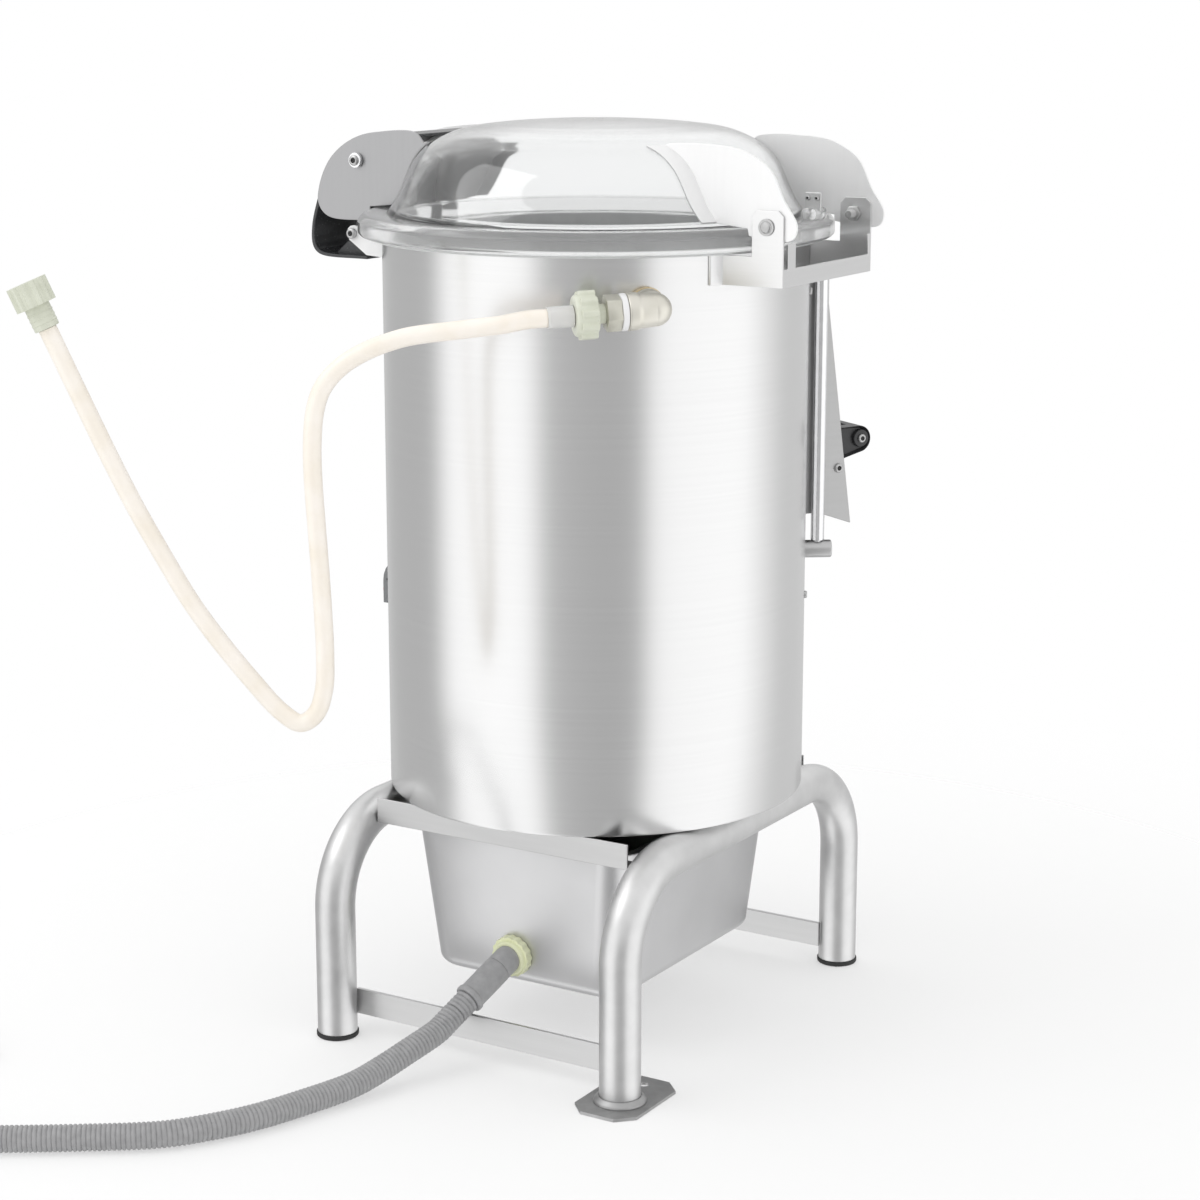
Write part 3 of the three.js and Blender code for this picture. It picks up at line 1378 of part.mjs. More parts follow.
function makeHinge() {
  const reach = drumRadius + bracketReach;
  const root = Math.sqrt(drumRadius ** 2 - bracketHalfWidth ** 2) - bracketRoot;
  const bottom = drumTop - bracketDepth;
  const cheekTop = drumTop - seatGap;
  const earTop = drumTop + earRise;
  const cheekOutline = [
    [root, bottom],
    [reach, bottom],
    [reach, earTop - earCorner],
    [reach - earCorner, earTop],
    [reach - earWidth + earCorner, earTop],
    [reach - earWidth, earTop - earCorner],
    [reach - earWidth, cheekTop],
    [root, cheekTop],
  ];
  const lipBack = reach - bracketSheet;
  const cheekInner = bracketHalfWidth - bracketSheet;
  const nearTab = -bracketHalfWidth + nearTabInset;
  const farTab = bracketHalfWidth - farTabWidth;
  const wingRing = ring(drumRadius + seatGap + bracketSheet, drumRadius, bottom, cheekTop, drumSides);
  const wings = [-1, 1].map((side) => {
    const ends = ordered(side * cheekInner, side * (bracketHalfWidth + bracketWing));
    return common(wingRing, block(0, reach, ends[0], ends[1], bottom, cheekTop));
  });
  const body = join(
    block(root, reach, -bracketHalfWidth, bracketHalfWidth, bottom, bottom + bracketSheet),
    block(lipBack, reach, -bracketHalfWidth, bracketHalfWidth, bottom, bottom + bracketLip),
    block(lipBack, reach, nearTab, nearTab + nearTabWidth, bottom, drumTop + nearTabRise),
    block(lipBack, reach, farTab, bracketHalfWidth, bottom, drumTop + farTabRise),
    extrudedAcross(cheekOutline, -bracketHalfWidth, -cheekInner),
    extrudedAcross(cheekOutline, cheekInner, bracketHalfWidth),
    ...wings,
  );
  const holes = across(hingeBoltRadius + pinGap, drumRadius, hingeAxis);
  piece(machine, "hinge_bracket", cut(body, drumEnvelope(seatGap), holes), sheetSteel);

  const sheets = bracketSheet + lidPlateSheet + seatGap;
  const grip = sheets + 2 * seatGap;
  const bolt = join(
    disc(hingeBoltRadius, -boltHeadHeight, grip + boltEnd, smallSides),
    disc(boltHeadRadius, -boltHeadHeight, 0, 6),
    disc(boltHeadRadius, grip, grip + boltHeadHeight, 6),
  );
  const inward = alongY.clone();
  const nearHead = new THREE.Vector3(hingeAxis.x, -bracketHalfWidth - seatGap, hingeAxis.z);
  piece(machine, "hinge_bolt_near", aimed(bolt.clone(), nearHead, inward), steel);
  const farHead = new THREE.Vector3(hingeAxis.x, bracketHalfWidth + sheets - bracketSheet + seatGap, hingeAxis.z);
  piece(machine, "hinge_bolt_far", aimed(bolt, farHead, inward.negate()), steel);
}

// Discharge door

function doorSide(inset) {
  const drum = drumRadius / 2;
  const topReach = drumRadius + doorTopReach - inset;
  const bottomReach = drumRadius + doorBottomReach - inset;
  const below = inset ? cutOverrun : 0;
  return [
    [drum, doorBottom - below],
    [drumRadius, doorBottom - below],
    [bottomReach, doorBottom - doorBottomDrop - below],
    [topReach, doorBreak],
    [topReach, doorTop - inset],
    [drum, doorTop - inset],
  ];
}

function makeDoor() {
  const outer = extrudedAcross(doorSide(0), -doorHalfWidth, doorHalfWidth);
  const room = doorHalfWidth - doorSheet;
  const inner = extrudedAcross(doorSide(doorSheet), -room, room);
  const panel = drumEnvelope(seatGap + doorPanel).rotateZ(-doorAngle);
  const drumRoom = drumEnvelope(seatGap).rotateZ(-doorAngle);
  const shell = cut(outer, cut(inner, panel), drumRoom);
  piece(door, "door_chute", shell.rotateZ(doorAngle), sheetSteel);

  const rodBottom = lowerStubHeight + stubRadius + seatGap;
  const rodTop = upperStubHeight - stubRadius - seatGap;
  const rod = join(
    disc(rodRadius, rodBottom, rodTop, smallSides),
    disc(rodPinRadius, rodBottom - rodPinLength, rodTop + rodPinLength, smallSides),
  );
  piece(door, "hinge_rod", rod.translate(rodAxis.x, rodAxis.y, 0), steel);

  const rodDirection = new THREE.Vector3(Math.cos(rodAngle), Math.sin(rodAngle), 0);
  for (const [name, height] of [["lower", lowerStubHeight], ["upper", upperStubHeight]]) {
    const tube = disc(stubRadius, drumRadius / 2, stubReach, roundSides);
    const stub = aimed(tube, new THREE.Vector3(0, 0, height), rodDirection);
    const hole = disc(rodPinRadius + pinGap, rodBottom - rodPinLength - pinGap, rodTop + rodPinLength + pinGap, smallSides);
    hole.translate(rodAxis.x, rodAxis.y, 0);
    piece(machine, `rod_stub_${name}`, cut(stub, drumEnvelope(seatGap), hole), sheetSteel);
  }
}

// The door handle stands on the sloping front sheet: up is along the slope, out is square to it.
function makeDoorHandle() {
  const slopeRun = doorBottomReach - doorTopReach;
  const slopeRise = doorBreak - doorBottom + doorBottomDrop;
  const lean = Math.atan2(slopeRun, slopeRise);
  const share = (doorBreak - doorHandleHeight) / slopeRise;
  const plateReach = drumRadius + doorTopReach + slopeRun * share;
  const end = laidOut(doorHandleEndShares, doorHandleTip, doorHandleTip, doorHandleReach, 0);
  const armOutline = [[seatGap, -doorHandleRoot], ...end, [seatGap, doorHandleRoot]];
  const gripBack = doorHandleReach - doorHandleGrip;
  const gripOutline = [[gripBack, -doorHandleTip], ...end, [gripBack, doorHandleTip]];
  const inner = doorHandleHalfWidth - doorHandleArm;
  const handle = join(
    extrudedAcross(armOutline, -doorHandleHalfWidth, -inner),
    extrudedAcross(armOutline, inner, doorHandleHalfWidth),
    extrudedAcross(gripOutline, -inner - footRim, inner + footRim),
  );
  handle.rotateY(-lean).translate(plateReach, 0, doorHandleHeight).rotateZ(doorAngle);
  piece(door, "door_handle", handle, blackPlastic);
}

// Control box, its two buttons and the timer knob

function boxSide(inset) {
  const front = drumRadius + boxDepth - inset;
  const arcHeight = boxHeight - boxFrontHeight;
  const points = [
    [-drumRadius / 2, boxBottom + inset],
    [-front, boxBottom + inset],
  ];
  for (let i = 0; i <= boxArcSteps; i++) {
    const angle = (rightAngle * i) / boxArcSteps;
    const x = drumRadius + (boxDepth - inset) * Math.cos(angle);
    points.push([-x, boxBottom + boxFrontHeight + (arcHeight - inset) * Math.sin(angle)]);
  }
  points.push([-drumRadius / 2, boxBottom + boxHeight - inset]);
  return points;
}

function makeControls() {
  const front = drumRadius + boxDepth;
  const room = boxHalfWidth - boxWall;
  const outer = extrudedAcross(boxSide(0), -boxHalfWidth, boxHalfWidth);
  const inner = extrudedAcross(boxSide(boxWall), -room, room);
  const gland = disc(glandRadius, boxBottom - glandLength, boxBottom + footRim).translate(-front + boxDepth / 2, glandOffset, 0);
  const glandBore = disc(glandBoreRadius, boxBottom - glandLength - cutOverrun, boxBottom + cutOverrun);
  glandBore.translate(-front + boxDepth / 2, glandOffset, 0);
  const outward = alongX.clone().negate();
  const holeAt = (radius, place) => {
    const centre = new THREE.Vector3(-front, place, controlHeight);
    return aimed(disc(radius + pinGap, -boxWall - cutOverrun / 2, cutOverrun), centre, outward);
  };
  const holes = [
    holeAt(buttonRadius, startButtonPlace),
    holeAt(buttonRadius, stopButtonPlace),
    holeAt(knobShaftRadius, knobPlace),
  ];
  const casing = cut(join(outer, gland), inner, glandBore, drumEnvelope(seatGap), ...holes);
  piece(machine, "control_box", casing, greyPlastic);

  const behindWall = -boxWall - seatGap;
  const buttons = [["start_button", startButtonPlace, green], ["stop_button", stopButtonPlace, red]];
  for (const [name, place, finish] of buttons) {
    const centre = new THREE.Vector3(-front, place, controlHeight);
    const cap = disc(buttonRadius, behindWall - buttonFlangeThickness, buttonReach);
    const flange = disc(buttonFlange, behindWall - buttonFlangeThickness, behindWall);
    const stem = disc(knobShaftRadius, behindWall - buttonStem, behindWall);
    const button = aimed(join(cap, flange, stem), centre, outward);
    const seat = groupAt(machine, centre);
    piece(seat, name, button, finish);
  }
  const knobCentre = new THREE.Vector3(-front, knobPlace, controlHeight);
  const knob = join(
    disc(knobRadius, seatGap, knobLength),
    block(-knobRib, knobRib, -knobRadius + footRim, knobRadius - footRim, knobLength - footRim, knobLength + knobRib),
    disc(knobShaftRadius, behindWall - buttonStem, knobLength / 2),
    disc(knobShaftRadius * 2, behindWall - buttonFlangeThickness, behindWall),
  );
  piece(groupAt(machine, knobCentre), "timer_knob", aimed(knob, knobCentre, outward), blackPlastic);
}

makeStand();
makeFloorPlate();
makeTray();
makeDrain();
makeDrainHose();
makeDrum();
makeChamber();
makeDrive();
makeInlet();
makeWaterHose();
makeLid();
makeLatch();
makeHinge();
makeDoor();
makeDoorHandle();
makeControls();

// The origin is on the floor under the middle of the machine, measured without its hoses.
const hosePieces = ["drain_cuff", "drain_hose", "drain_end_cuff", "hose_sleeve", "inlet_hose", "tap_connector"];
const extent = new THREE.Box3();
machine.updateMatrixWorld(true);
machine.traverse((item) => {
  if (item.isMesh && !hosePieces.includes(item.name)) extent.expandByObject(item);
});
const middle = extent.getCenter(new THREE.Vector3());
machine.position.set(-middle.x, -middle.y, 0);

export default machine;
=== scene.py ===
"""Looks of the electric potato peeler: camera, hoses, machine, floor and light.

Sizes are millimetres in the machine's own axes, with the drum axis upright at X = Y = 0 and the
floor at Z = 0. Each finished mesh is brought to metres in the row frame as its last step.
A profile is a list of (radius, height) points that is spun about its axis.
"""

import json
from math import atan2, copysign, cos, degrees, pi, radians, sin, tau

import bmesh
import bpy
from mathutils import Matrix, Vector

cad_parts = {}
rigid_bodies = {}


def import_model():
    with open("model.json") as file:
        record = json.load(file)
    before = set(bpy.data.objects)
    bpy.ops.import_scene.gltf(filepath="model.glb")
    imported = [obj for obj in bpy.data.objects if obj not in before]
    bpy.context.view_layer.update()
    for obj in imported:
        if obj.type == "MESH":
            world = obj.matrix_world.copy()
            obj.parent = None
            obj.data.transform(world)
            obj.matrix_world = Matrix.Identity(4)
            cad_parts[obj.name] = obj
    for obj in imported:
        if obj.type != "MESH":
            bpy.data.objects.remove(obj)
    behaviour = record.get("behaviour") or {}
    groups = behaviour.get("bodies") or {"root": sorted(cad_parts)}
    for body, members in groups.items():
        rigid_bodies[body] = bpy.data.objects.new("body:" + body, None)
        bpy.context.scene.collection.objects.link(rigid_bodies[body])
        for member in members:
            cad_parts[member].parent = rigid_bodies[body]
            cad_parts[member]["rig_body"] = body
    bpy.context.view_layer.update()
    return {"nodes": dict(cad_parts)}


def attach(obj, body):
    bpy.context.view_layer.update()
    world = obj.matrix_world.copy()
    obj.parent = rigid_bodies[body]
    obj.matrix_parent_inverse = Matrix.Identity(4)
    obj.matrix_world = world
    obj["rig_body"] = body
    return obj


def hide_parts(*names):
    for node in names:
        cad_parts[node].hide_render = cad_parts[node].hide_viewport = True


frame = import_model()

MILLIMETRE = 0.001
DRUM_AXIS = Vector((15.475, -5.483, 0.0))
TO_ROW = Matrix.Scale(MILLIMETRE, 4) @ Matrix.Translation(DRUM_AXIS)
SIDE_ON = Matrix(((1, 0, 0, 0), (0, 0, 1, 0), (0, 1, 0, 0), (0, 0, 0, 1)))
UP = Vector((0, 0, 1))
SIDEWAYS = Vector((0, 1, 0))
TO_USER = Vector((-1, 0, 0))
NEAR_AND_FAR = ((-1, "near"), (1, "far"))
GAP = 0.3

# Sides of round pieces
SMALL_SIDES = 32
ROUND_SIDES = 48
NUT_SIDES = 64
PLAIN_SIDES = 96
WIDE_SIDES = 128
LID_SIDES = 160
DRUM_SIDES = 180

# Angles, in degrees, above which an edge stays sharp
CRISP = 28
SHARP = 32
SMOOTH = 40
FLEXIBLE = 60

# Distances that count as nothing
MERGE_DISTANCE = 0.0005
ON_AXIS = 0.001

# Photograph's camera
PHOTO_PLACE = Vector((1352.6, -2192.2, 990.7))
PHOTO_RIGHT = Vector((0.8518, 0.5239, 0))
PHOTO_UP = Vector((-0.1165, 0.1892, 0.9750))
PHOTO_AHEAD = Vector((-0.5107, 0.8305, -0.2222))

# Drum
DRUM_RADIUS = 199.6
DRUM_WALL = 1.5
DRUM_BOTTOM = 228.0
DRUM_TOP = 752.0
DRUM_LEVELS = (360, 492, 591, 690, DRUM_TOP - 1, DRUM_TOP)
BOTTOM_CURL = ((3.2, 0), (1, 0.9), (0, 3.2))
OPENING_BOTTOM = 492
OPENING_TOP = 690
OPENING_HALF_DEGREES = 18

# Stand
TUBE_RADIUS = 19.0
TUBE_BEND = 82.0
TUBE_BEND_STEPS = 24
ARCH_HALF_WIDTH = 158.0
ARCH_HALF_DEPTH = 215.6
ARCH_TOP = 208.7
FOOT_HEIGHT = 5.0
FOOT_PROFILE = [(0, 0), (19.0, 0), (20.2, 1.2), (20.2, 4.9), (18.6, 4.9), (18.6, 7), (0, 7)]
FLOOR_PLATE_OUTLINE = [
    (-17.5, -40), (17.5, -40), (32.5, -25), (32.5, 44), (17.5, 59), (-17.5, 59), (-32.5, 44),
    (-32.5, -25),
]
FLOOR_PLATE_SHEET = 3
FLOOR_HOLE_PLACE = Vector((0, 42.6, 0))
FLOOR_COLLAR_PROFILE = [(19.2, 2.9), (24.6, 2.9), (23.8, 5.2), (20.6, 8.6), (19.2, 9.0)]

# Tray and drain
TRAY_TOP = 207.5
TRAY_BOTTOM = 56.5
TRAY_ROUND = 12.0
TRAY_ROUND_STEPS = 8
TRAY_HALF_WIDTH = 106
TRAY_HALF_DEPTH = 136
TRAY_CORNER = 28
TRAY_CORNER_SHARE = 0.6
TRAY_FLARE = 13
TRAY_FLARE_STEPS = 4
TRAY_LIP_DROP = 3
TRAY_LIP = ((14, 29, TRAY_TOP - 1), (16, 31, TRAY_TOP - 0.2), (26, 41, TRAY_TOP - 0.2))
TRAY_WALL = 1.2
DRAIN_PLACE = Vector((-6, -137.64, 86.0))
DRAIN_NORMAL = Vector((0, -1, -0.0935)).normalized()
DRAIN_NUT_HEIGHT = 12.0
DRAIN_HEADING = Vector((-0.194, -0.862, -0.461)).normalized()
DRAIN_ELBOW = DRAIN_PLACE + DRAIN_NORMAL * (GAP + DRAIN_NUT_HEIGHT)
DRAIN_ELBOW_RADIUS = 13
DRAIN_COLLAR_PROFILE = [
    (12.6, 7.0), (17.4, 7.0), (16.2, DRAIN_NUT_HEIGHT), (12.6, DRAIN_NUT_HEIGHT),
]
DRAIN_SPIGOT_PROFILE = [
    (0, -8.5), (15.6, -8.5), (15.6, -1.6), (12.6, -1.6), (12.6, DRAIN_NUT_HEIGHT),
    (0, DRAIN_NUT_HEIGHT),
]

# Drain hose
CUFF_START = 14.0
CUFF_LENGTH = 62.0
CUFF_SMOOTH = 44
CUFF_RIBS = 4
HOSE_CREST = 12.0
HOSE_VALLEY = 10.6
HOSE_BORE = 8.5
HOSE_PITCH = 4.2
HOSE_REST = 12.5
HOSE_SIDES = 20
HOSE_SPACING = 4.0
DRAIN_ROUTE = (
    (-34.6, -272.5, 28.5), (-42.3, -297.2, 21), (-50.3, -333, 14.8), (-66.9, -384.9, 12.5),
    (-83.8, -434.5, 12.5), (-106.2, -475.6, 12.5), (-129.4, -505.8, 12.5), (-192, -553, 12.5),
    (-258, -597, 12.5), (-325, -641, 12.5), (-394, -687, 12.5),
)
LOOP_CENTRE = (-535, -580)
LOOP_RADIUS = 165
LOOP_START = -65
LOOP_TURN = 220
LOOP_POINTS = 12
LOOP_RUN_OUT = (15, 30)
DRAIN_BARB_PROFILE = [
    (9, 0), (13.2, 0), (13.2, CUFF_START - 0.2), (11, CUFF_START - 0.2), (11, 34), (9, 34),
]
CUFF_PROFILE = [
    (11.4, 0), (13.4, 0), (13.4, 38), (14.6, 39), (14.6, CUFF_SMOOTH - 1), (13.6, CUFF_SMOOTH),
    (HOSE_BORE, CUFF_SMOOTH), (HOSE_BORE, 21), (11.4, 21),
]
END_CUFF_PROFILE = [
    (HOSE_BORE, 0), (12, 0), (12, 8), (11.6, 10), (11.6, 50), (12, 52), (12, 60), (HOSE_BORE, 60),
]

# Water inlet
INLET_ANGLE = radians(-45.9)
INLET_HEIGHT = 711.0
INLET_RADIAL = Vector((cos(INLET_ANGLE), sin(INLET_ANGLE), 0))
INLET_AXIS = UP * INLET_HEIGHT
INLET_BEND = INLET_RADIAL * 235.0 + INLET_AXIS
INLET_HEADING = Vector((-0.7172, -0.6949, -0.0523)).normalized()
ELBOW_RADIUS = 14.5
ELBOW_END = 25.3
WASHER_START = 25.6
NIPPLE_START = 31.1
NIPPLE_RADIUS = 16.5
NIPPLE_LENGTH = 13.3
UNION_START = 44.7
UNION_NUT = (21.5, 10, 3.2, 12)
BUSH_PROFILE = [
    (8.4, 185), (10.4, 185), (10.4, 192), (16, 192), (16, 196.8), (10.4, 196.8), (10.4, 200.3),
    (16, 200.3), (16, 206.3), (10.4, 206.3), (10.4, 212.3), (8.4, 212.3),
]
SOCKET_PROFILE = [(10.8, 206.6), (15.2, 206.6), (15.2, 214), (14, 216), (14, 235), (10.8, 235)]
OUTLET_PROFILE = [
    (10.8, 0), (14.5, 0), (15.3, 14), (16.3, 16.5), (16.6, ELBOW_END), (10.8, ELBOW_END),
]
UNION_COLLAR_PROFILE = [(8, 6.6), (16, 6.6), (18.4, 9), (18.4, 24), (17, 26.8), (8, 26.8)]

# Water hose
SLEEVE_START = 72.0
SLEEVE_PROFILE = [(8.2, 0), (9.5, 0), (9.5, 22), (9.0, 23), (8.2, 23)]
WATER_HOSE_START = 95.3
WATER_HOSE_RADIUS = 8.0
WATER_HOSE_BORE = 5.2
WATER_HOSE_RINGS = 360
CORE_PROFILE = [(WATER_HOSE_BORE, 0), (7.9, 0), (7.9, 23.2), (WATER_HOSE_BORE, 23.2)]
WATER_ROUTE = (
    (68.4, -265.4, 701.7), (50.4, -276.5, 699.2), (32.4, -287.6, 696.6), (10.7, -300.9, 693.6),
    (-3.7, -309.8, 690.2), (-28.4, -325, 679.6), (-48.1, -337.1, 665.1), (-60.7, -344.9, 647.5),
    (-66.5, -348.4, 627.4), (-68.9, -349.9, 598.1), (-68.8, -349.8, 568.7), (-67.3, -348.9, 533.8),
    (-65.2, -347.6, 489), (-63.7, -346.7, 450), (-63, -346.2, 413.5), (-64.3, -347, 383.9),
    (-70.5, -351, 362), (-82, -358, 353), (-96.5, -366.8, 363.5), (-118.2, -380.2, 392.9),
    (-141.7, -394.7, 428.7), (-160.7, -406.4, 461.6), (-180.8, -418.7, 504), (-199, -430, 545),
    (-216.2, -440.5, 588), (-235, -452, 638), (-252, -462.5, 684),
)
TAP_NUT = (18, 12, 2)
TAP_RING_PROFILE = [(10.6, 0), (11.6, 0.4), (10.6, 3)]

# Lid
LID_BASE = 755.0
LID_RIM_TOP = 775.0
LID_RIM_RADIUS = 222.0
DOME_RADIUS = 195.0
DOME_RISE = 86.0
DOME_WALL = 3.0
DOME_BORE = DOME_RADIUS - DOME_WALL
DOME_SPACING = 4.0
DOME_RADIUS_SHARES = (1, 0.944, 0.867, 0.805, 0.728, 0.631, 0.497, 0.338, 0.17, 0)
DOME_HEIGHT_SHARES = (0, 0.186, 0.558, 0.715, 0.814, 0.895, 0.942, 0.972, 0.992, 1)
RIM_PROFILE = [
    (DOME_BORE, LID_BASE), (LID_RIM_RADIUS - 3, LID_BASE), (LID_RIM_RADIUS, LID_BASE + 3),
    (LID_RIM_RADIUS, LID_RIM_TOP - 6), (LID_RIM_RADIUS - 5, LID_RIM_TOP), (DOME_BORE, LID_RIM_TOP),
]
SEAL_BOTTOM = 744.3
SEAL_PROFILE = [
    (194, SEAL_BOTTOM), (196.7, SEAL_BOTTOM), (196.7, DRUM_TOP + GAP), (211, DRUM_TOP + GAP),
    (211, LID_BASE - GAP), (194, LID_BASE - GAP),
]

# Lid plates, hinge and latch
HINGE = Vector((226, 0, 777.5))
LATCH = Vector((-227, 0, 818.4))
CATCH = Vector((-226, 0, 750.0))
PLATE_SHEET = 2.0
PLATE_STRIP = 13.0
PLATE_STRIP_STEPS = 6
HINGE_PLATE_SIZE = (110, 67.4)
HINGE_PLATE_SHARES = (
    (-0.99, 0.92), (-0.93, 1), (-0.31, 0.995), (-0.14, 0.9), (0.02, 0.72), (0.14, 0.35),
    (0.255, 0.05), (0.245, -0.1), (0.19, -0.17), (-0.56, -0.03),
)
LATCH_PLATE_SIZE = (78, 55.6)
LATCH_PLATE_FACE = 65.5
LATCH_PLATE_SHARES = (
    (1, 0.33), (0.87, 0.505), (0.28, 0.486), (0.04, 0.418), (-0.2, 0.262), (-0.4, 0.029),
    (-0.53, -0.253), (-0.6, -0.544), (-0.61, -0.72), (-0.55, -0.89), (-0.41, -1), (0.39, -1),
)
COVER_SHARES = ((0.9, 0.476), (0.28, 0.442), (0.04, 0.374), (-0.17, 0.228))
COVER_HALF_WIDTH = 63.2
COVER_SHEET = 3
HANDLE_SIZE = (58, 94)
HANDLE_HALF_WIDTH = 62.7
HANDLE_OUTER_SHARES = (
    (-0.603, -0.068), (-0.759, -0.249), (-0.897, -0.462), (-0.991, -0.674), (-1, -0.855),
    (-0.94, -0.935), (-0.8, -0.983), (0.138, -1),
)
HANDLE_INNER_SHARES = (
    (0.138, -0.968), (-0.767, -0.951), (-0.879, -0.914), (-0.934, -0.839), (-0.931, -0.68),
    (-0.836, -0.478), (-0.698, -0.27), (-0.543, -0.089),
)
HANDLE_ARM_SHARES = (
    (0.052, 0.113), (-0.12, 0.091), (-0.235, -0.035), (-0.56, -0.105), (-0.345, -0.409),
    (-0.224, -0.6), (-0.328, -0.791), (-0.672, -0.972), (0.129, -0.983), (0.172, -0.93),
    (0.172, -0.794), (-0.078, -0.794), (-0.083, -0.674), (0.017, -0.668), (0.19, -0.068),
    (0.198, 0.038),
)
HANDLE_ARM_SHEET = 4
HANDLE_ARM_PLACES = (-50, 46)
LATCH_PIN_PROFILE = [
    (0, -69.8), (7.0, -69.8), (7.5, -68.6), (7.5, -65.9), (4, -65.9), (4, 65.9), (7.5, 65.9),
    (7.5, 68.6), (7.0, 69.8), (0, 69.8),
]
CURVE_SPACING = 2.5
PLATE_SPACING = 1.5

# Bolts and screws
BOLT_RADIUS = 4.0
BOLT_CORE = 3.4
BOLT_HEAD_RADIUS = 7.5
BOLT_HEAD_HEIGHT = 4
BOLT_NUT_BACK = 12
THREAD_START = -3
THREAD_PITCH = 1.0
THREAD_REACH = 16.9
BOLT_WASHER = 1.1
ROUND_HEAD_PROFILE = [(0, -3.2), (3.6, -3.0), (5.2, -1.8), (5.8, 0), (0, 0)]
SCREW_SHARES = (
    (0, 0.6), (0.5, 0.9), (0.5, 2.4), (0.7, 2.6), (0.94, 1.8), (1, 0.5), (1, 0), (0, 0),
)
# Size of the black hexagon painted as the shade in a screw's socket, a share of the head's radius
SOCKET_SHADE_SHARE = 0.46
SIDE_SCREW_RADIUS = 5.2

# Discharge door, and the wall screws beside it
DOOR_DEGREES = 60
DOOR_TURN = Matrix.Rotation(radians(DOOR_DEGREES), 4, "Z")
DOOR_CHEEK = 80.04
DOOR_SCREW = (222, 526.5)
ROD_ANGLE = radians(36)
ROD_RADIAL = Vector((cos(ROD_ANGLE), sin(ROD_ANGLE), 0))
ROD_AXIS = ROD_RADIAL * 213.5
ROD_PROFILE = [
    (0, 452.8), (4, 452.8), (4, 459.8), (6.5, 459.8), (6.5, 727.7), (4, 727.7), (4, 734.7),
    (0, 734.7),
]
STUB_RADIUS = 8.5
STUB_ENDS = (199, 227)
STUB_HEIGHTS = (("rod_stub_lower", 451.0), ("rod_stub_upper", 736.5))
HANDLE_LEAN = atan2(29.4, 215.5)
HANDLE_PLACE = (
    DOOR_TURN @ Matrix.Translation((227.71, 0, 543.5)) @ Matrix.Rotation(-HANDLE_LEAN, 4, "Y")
)
GRIP_END = 34.5
GRIP_RADIUS = 13
GRIP_ROOT = 31
GRIP_HALF_WIDTH = 44
ARM_INSIDE = 42
ARM_OUTSIDE = 56
ARM_HALF_ROOT = 17
ARM_RIM = 2.4
ARM_HOLLOW = 4.5
BOSS_PLACE = 37.4
BOSS_PROFILE = [(0, 50), (9.2, 50), (8.4, 55.4), (0, 55.4)]
BOSS_FACE = 55.4
WALL_SCREW_ANGLE = radians(27)
WALL_SCREW_HEIGHTS = (413, 703)

# Controls
BOX_FRONT = Vector((-225, 0, 394))
START_PLACE = -3
STOP_PLACE = -25
TIMER_PLACE = 22
BUTTON_PROFILE = [
    (0, -8.3), (3, -8.3), (3, -4.3), (9.2, -4.3), (9.2, -2.3), (7.5, -2.3), (7.5, 3.6),
    (6.6, 4.9), (3, 4.5), (0, 4.3),
]
BEZEL_PROFILE = [(7.95, 0.05), (10.2, 0.05), (10.2, 1.4), (8.6, 2.0), (7.95, 2.0)]
KNOB_EDGE = (11, 18, 0.9, 6)
KNOB_CAP_PROFILE = [(0, 11.5), (9.2, 11.5), (8.6, 13.0), (0, 13.2)]
KNOB_BAR = [(-1.6, -9.6), (1.6, -9.6), (1.6, 9.6), (-1.6, 9.6)]
KNOB_SHAFT_PROFILE = [
    (0, -8.3), (3, -8.3), (3, -4.3), (6, -4.3), (6, -2.3), (3, -2.3), (3, 2), (0, 2),
]

# Chamber and drive
CHAMBER_RADIUS = 196.5
LINING_RADIUS = 191.7
LINING_LEVELS = (459.5, 500, 694)
LINING_SILL = 492.5
BASE_PLATE_TOP = 232
SPOUT_PLACE = Vector((25, -115, 0))
SPOUT_PROFILE = [(25, 190), (27, 190), (27, 452.5), (36, 452.5), (36, 455.5), (25, 455.5)]
HOUSING_PROFILE = [
    (20, 399), (26.3, 399), (26.3, 383.7), (34, 383.7), (34, 447.7), (52, 447.7), (52, 455.7),
    (26.3, 455.7), (26.3, 440.5), (20, 440.5),
]
BEARINGS = (("upper_bearing", 440.7), ("lower_bearing", 383.7))
BEARING_BORE = 13.2
BEARING_RADIUS = 26
BEARING_HEIGHT = 15
SHAFT_PROFILE = [
    (0, 346), (8.7, 346), (8.7, 372.3), (12.5, 372.3), (12.5, 468.7), (9, 468.7), (9, 478),
    (0, 478),
]
MOTOR_AXIS = Vector((-79.196, 79.196, 0))
MOTOR_SHAFT_ENDS = (350.6, 382)
PULLEY_ENDS = (352, 372)
PULLEY_BORE = 9
GROOVE_ENDS = (356.4, 367.6)
GROOVE_DEPTH = 5.6
DRIVEN_RADIUS = 75
DRIVING_RADIUS = 28

# Floor and light
FLOOR_TONE = 0.93
OVERHEAD_TONE = 1.05
BANDS = (
    (-180, 0.58), (-157, 0.55), (-143, 1.36), (-95, 1.38), (-84, 0.60), (-58, 0.54), (-36, 0.50),
    (-27, 1.28), (28, 1.36), (47, 0.98), (62, 0.74), (110, 0.72), (142, 0.68), (158, 0.58),
)
LAMP_PLACE = Vector((-1.6, -1.8, 2.6))
LAMP_AIM = Vector((0, 0, 0.45))


# Mesh helpers

def neighbours(points):
    """Each point with the one before it and the one after it, or itself at an end."""
    return zip([points[0], *points], points, [*points[1:], points[-1]])


def ring_pairs(points):
    return list(zip(points, points[1:] + points[:1]))


def new_verts(made):
    return [item for item in made["geom"] if isinstance(item, bmesh.types.BMVert)]


def new_edges(made):
    return [item for item in made["geom"] if isinstance(item, bmesh.types.BMEdge)]


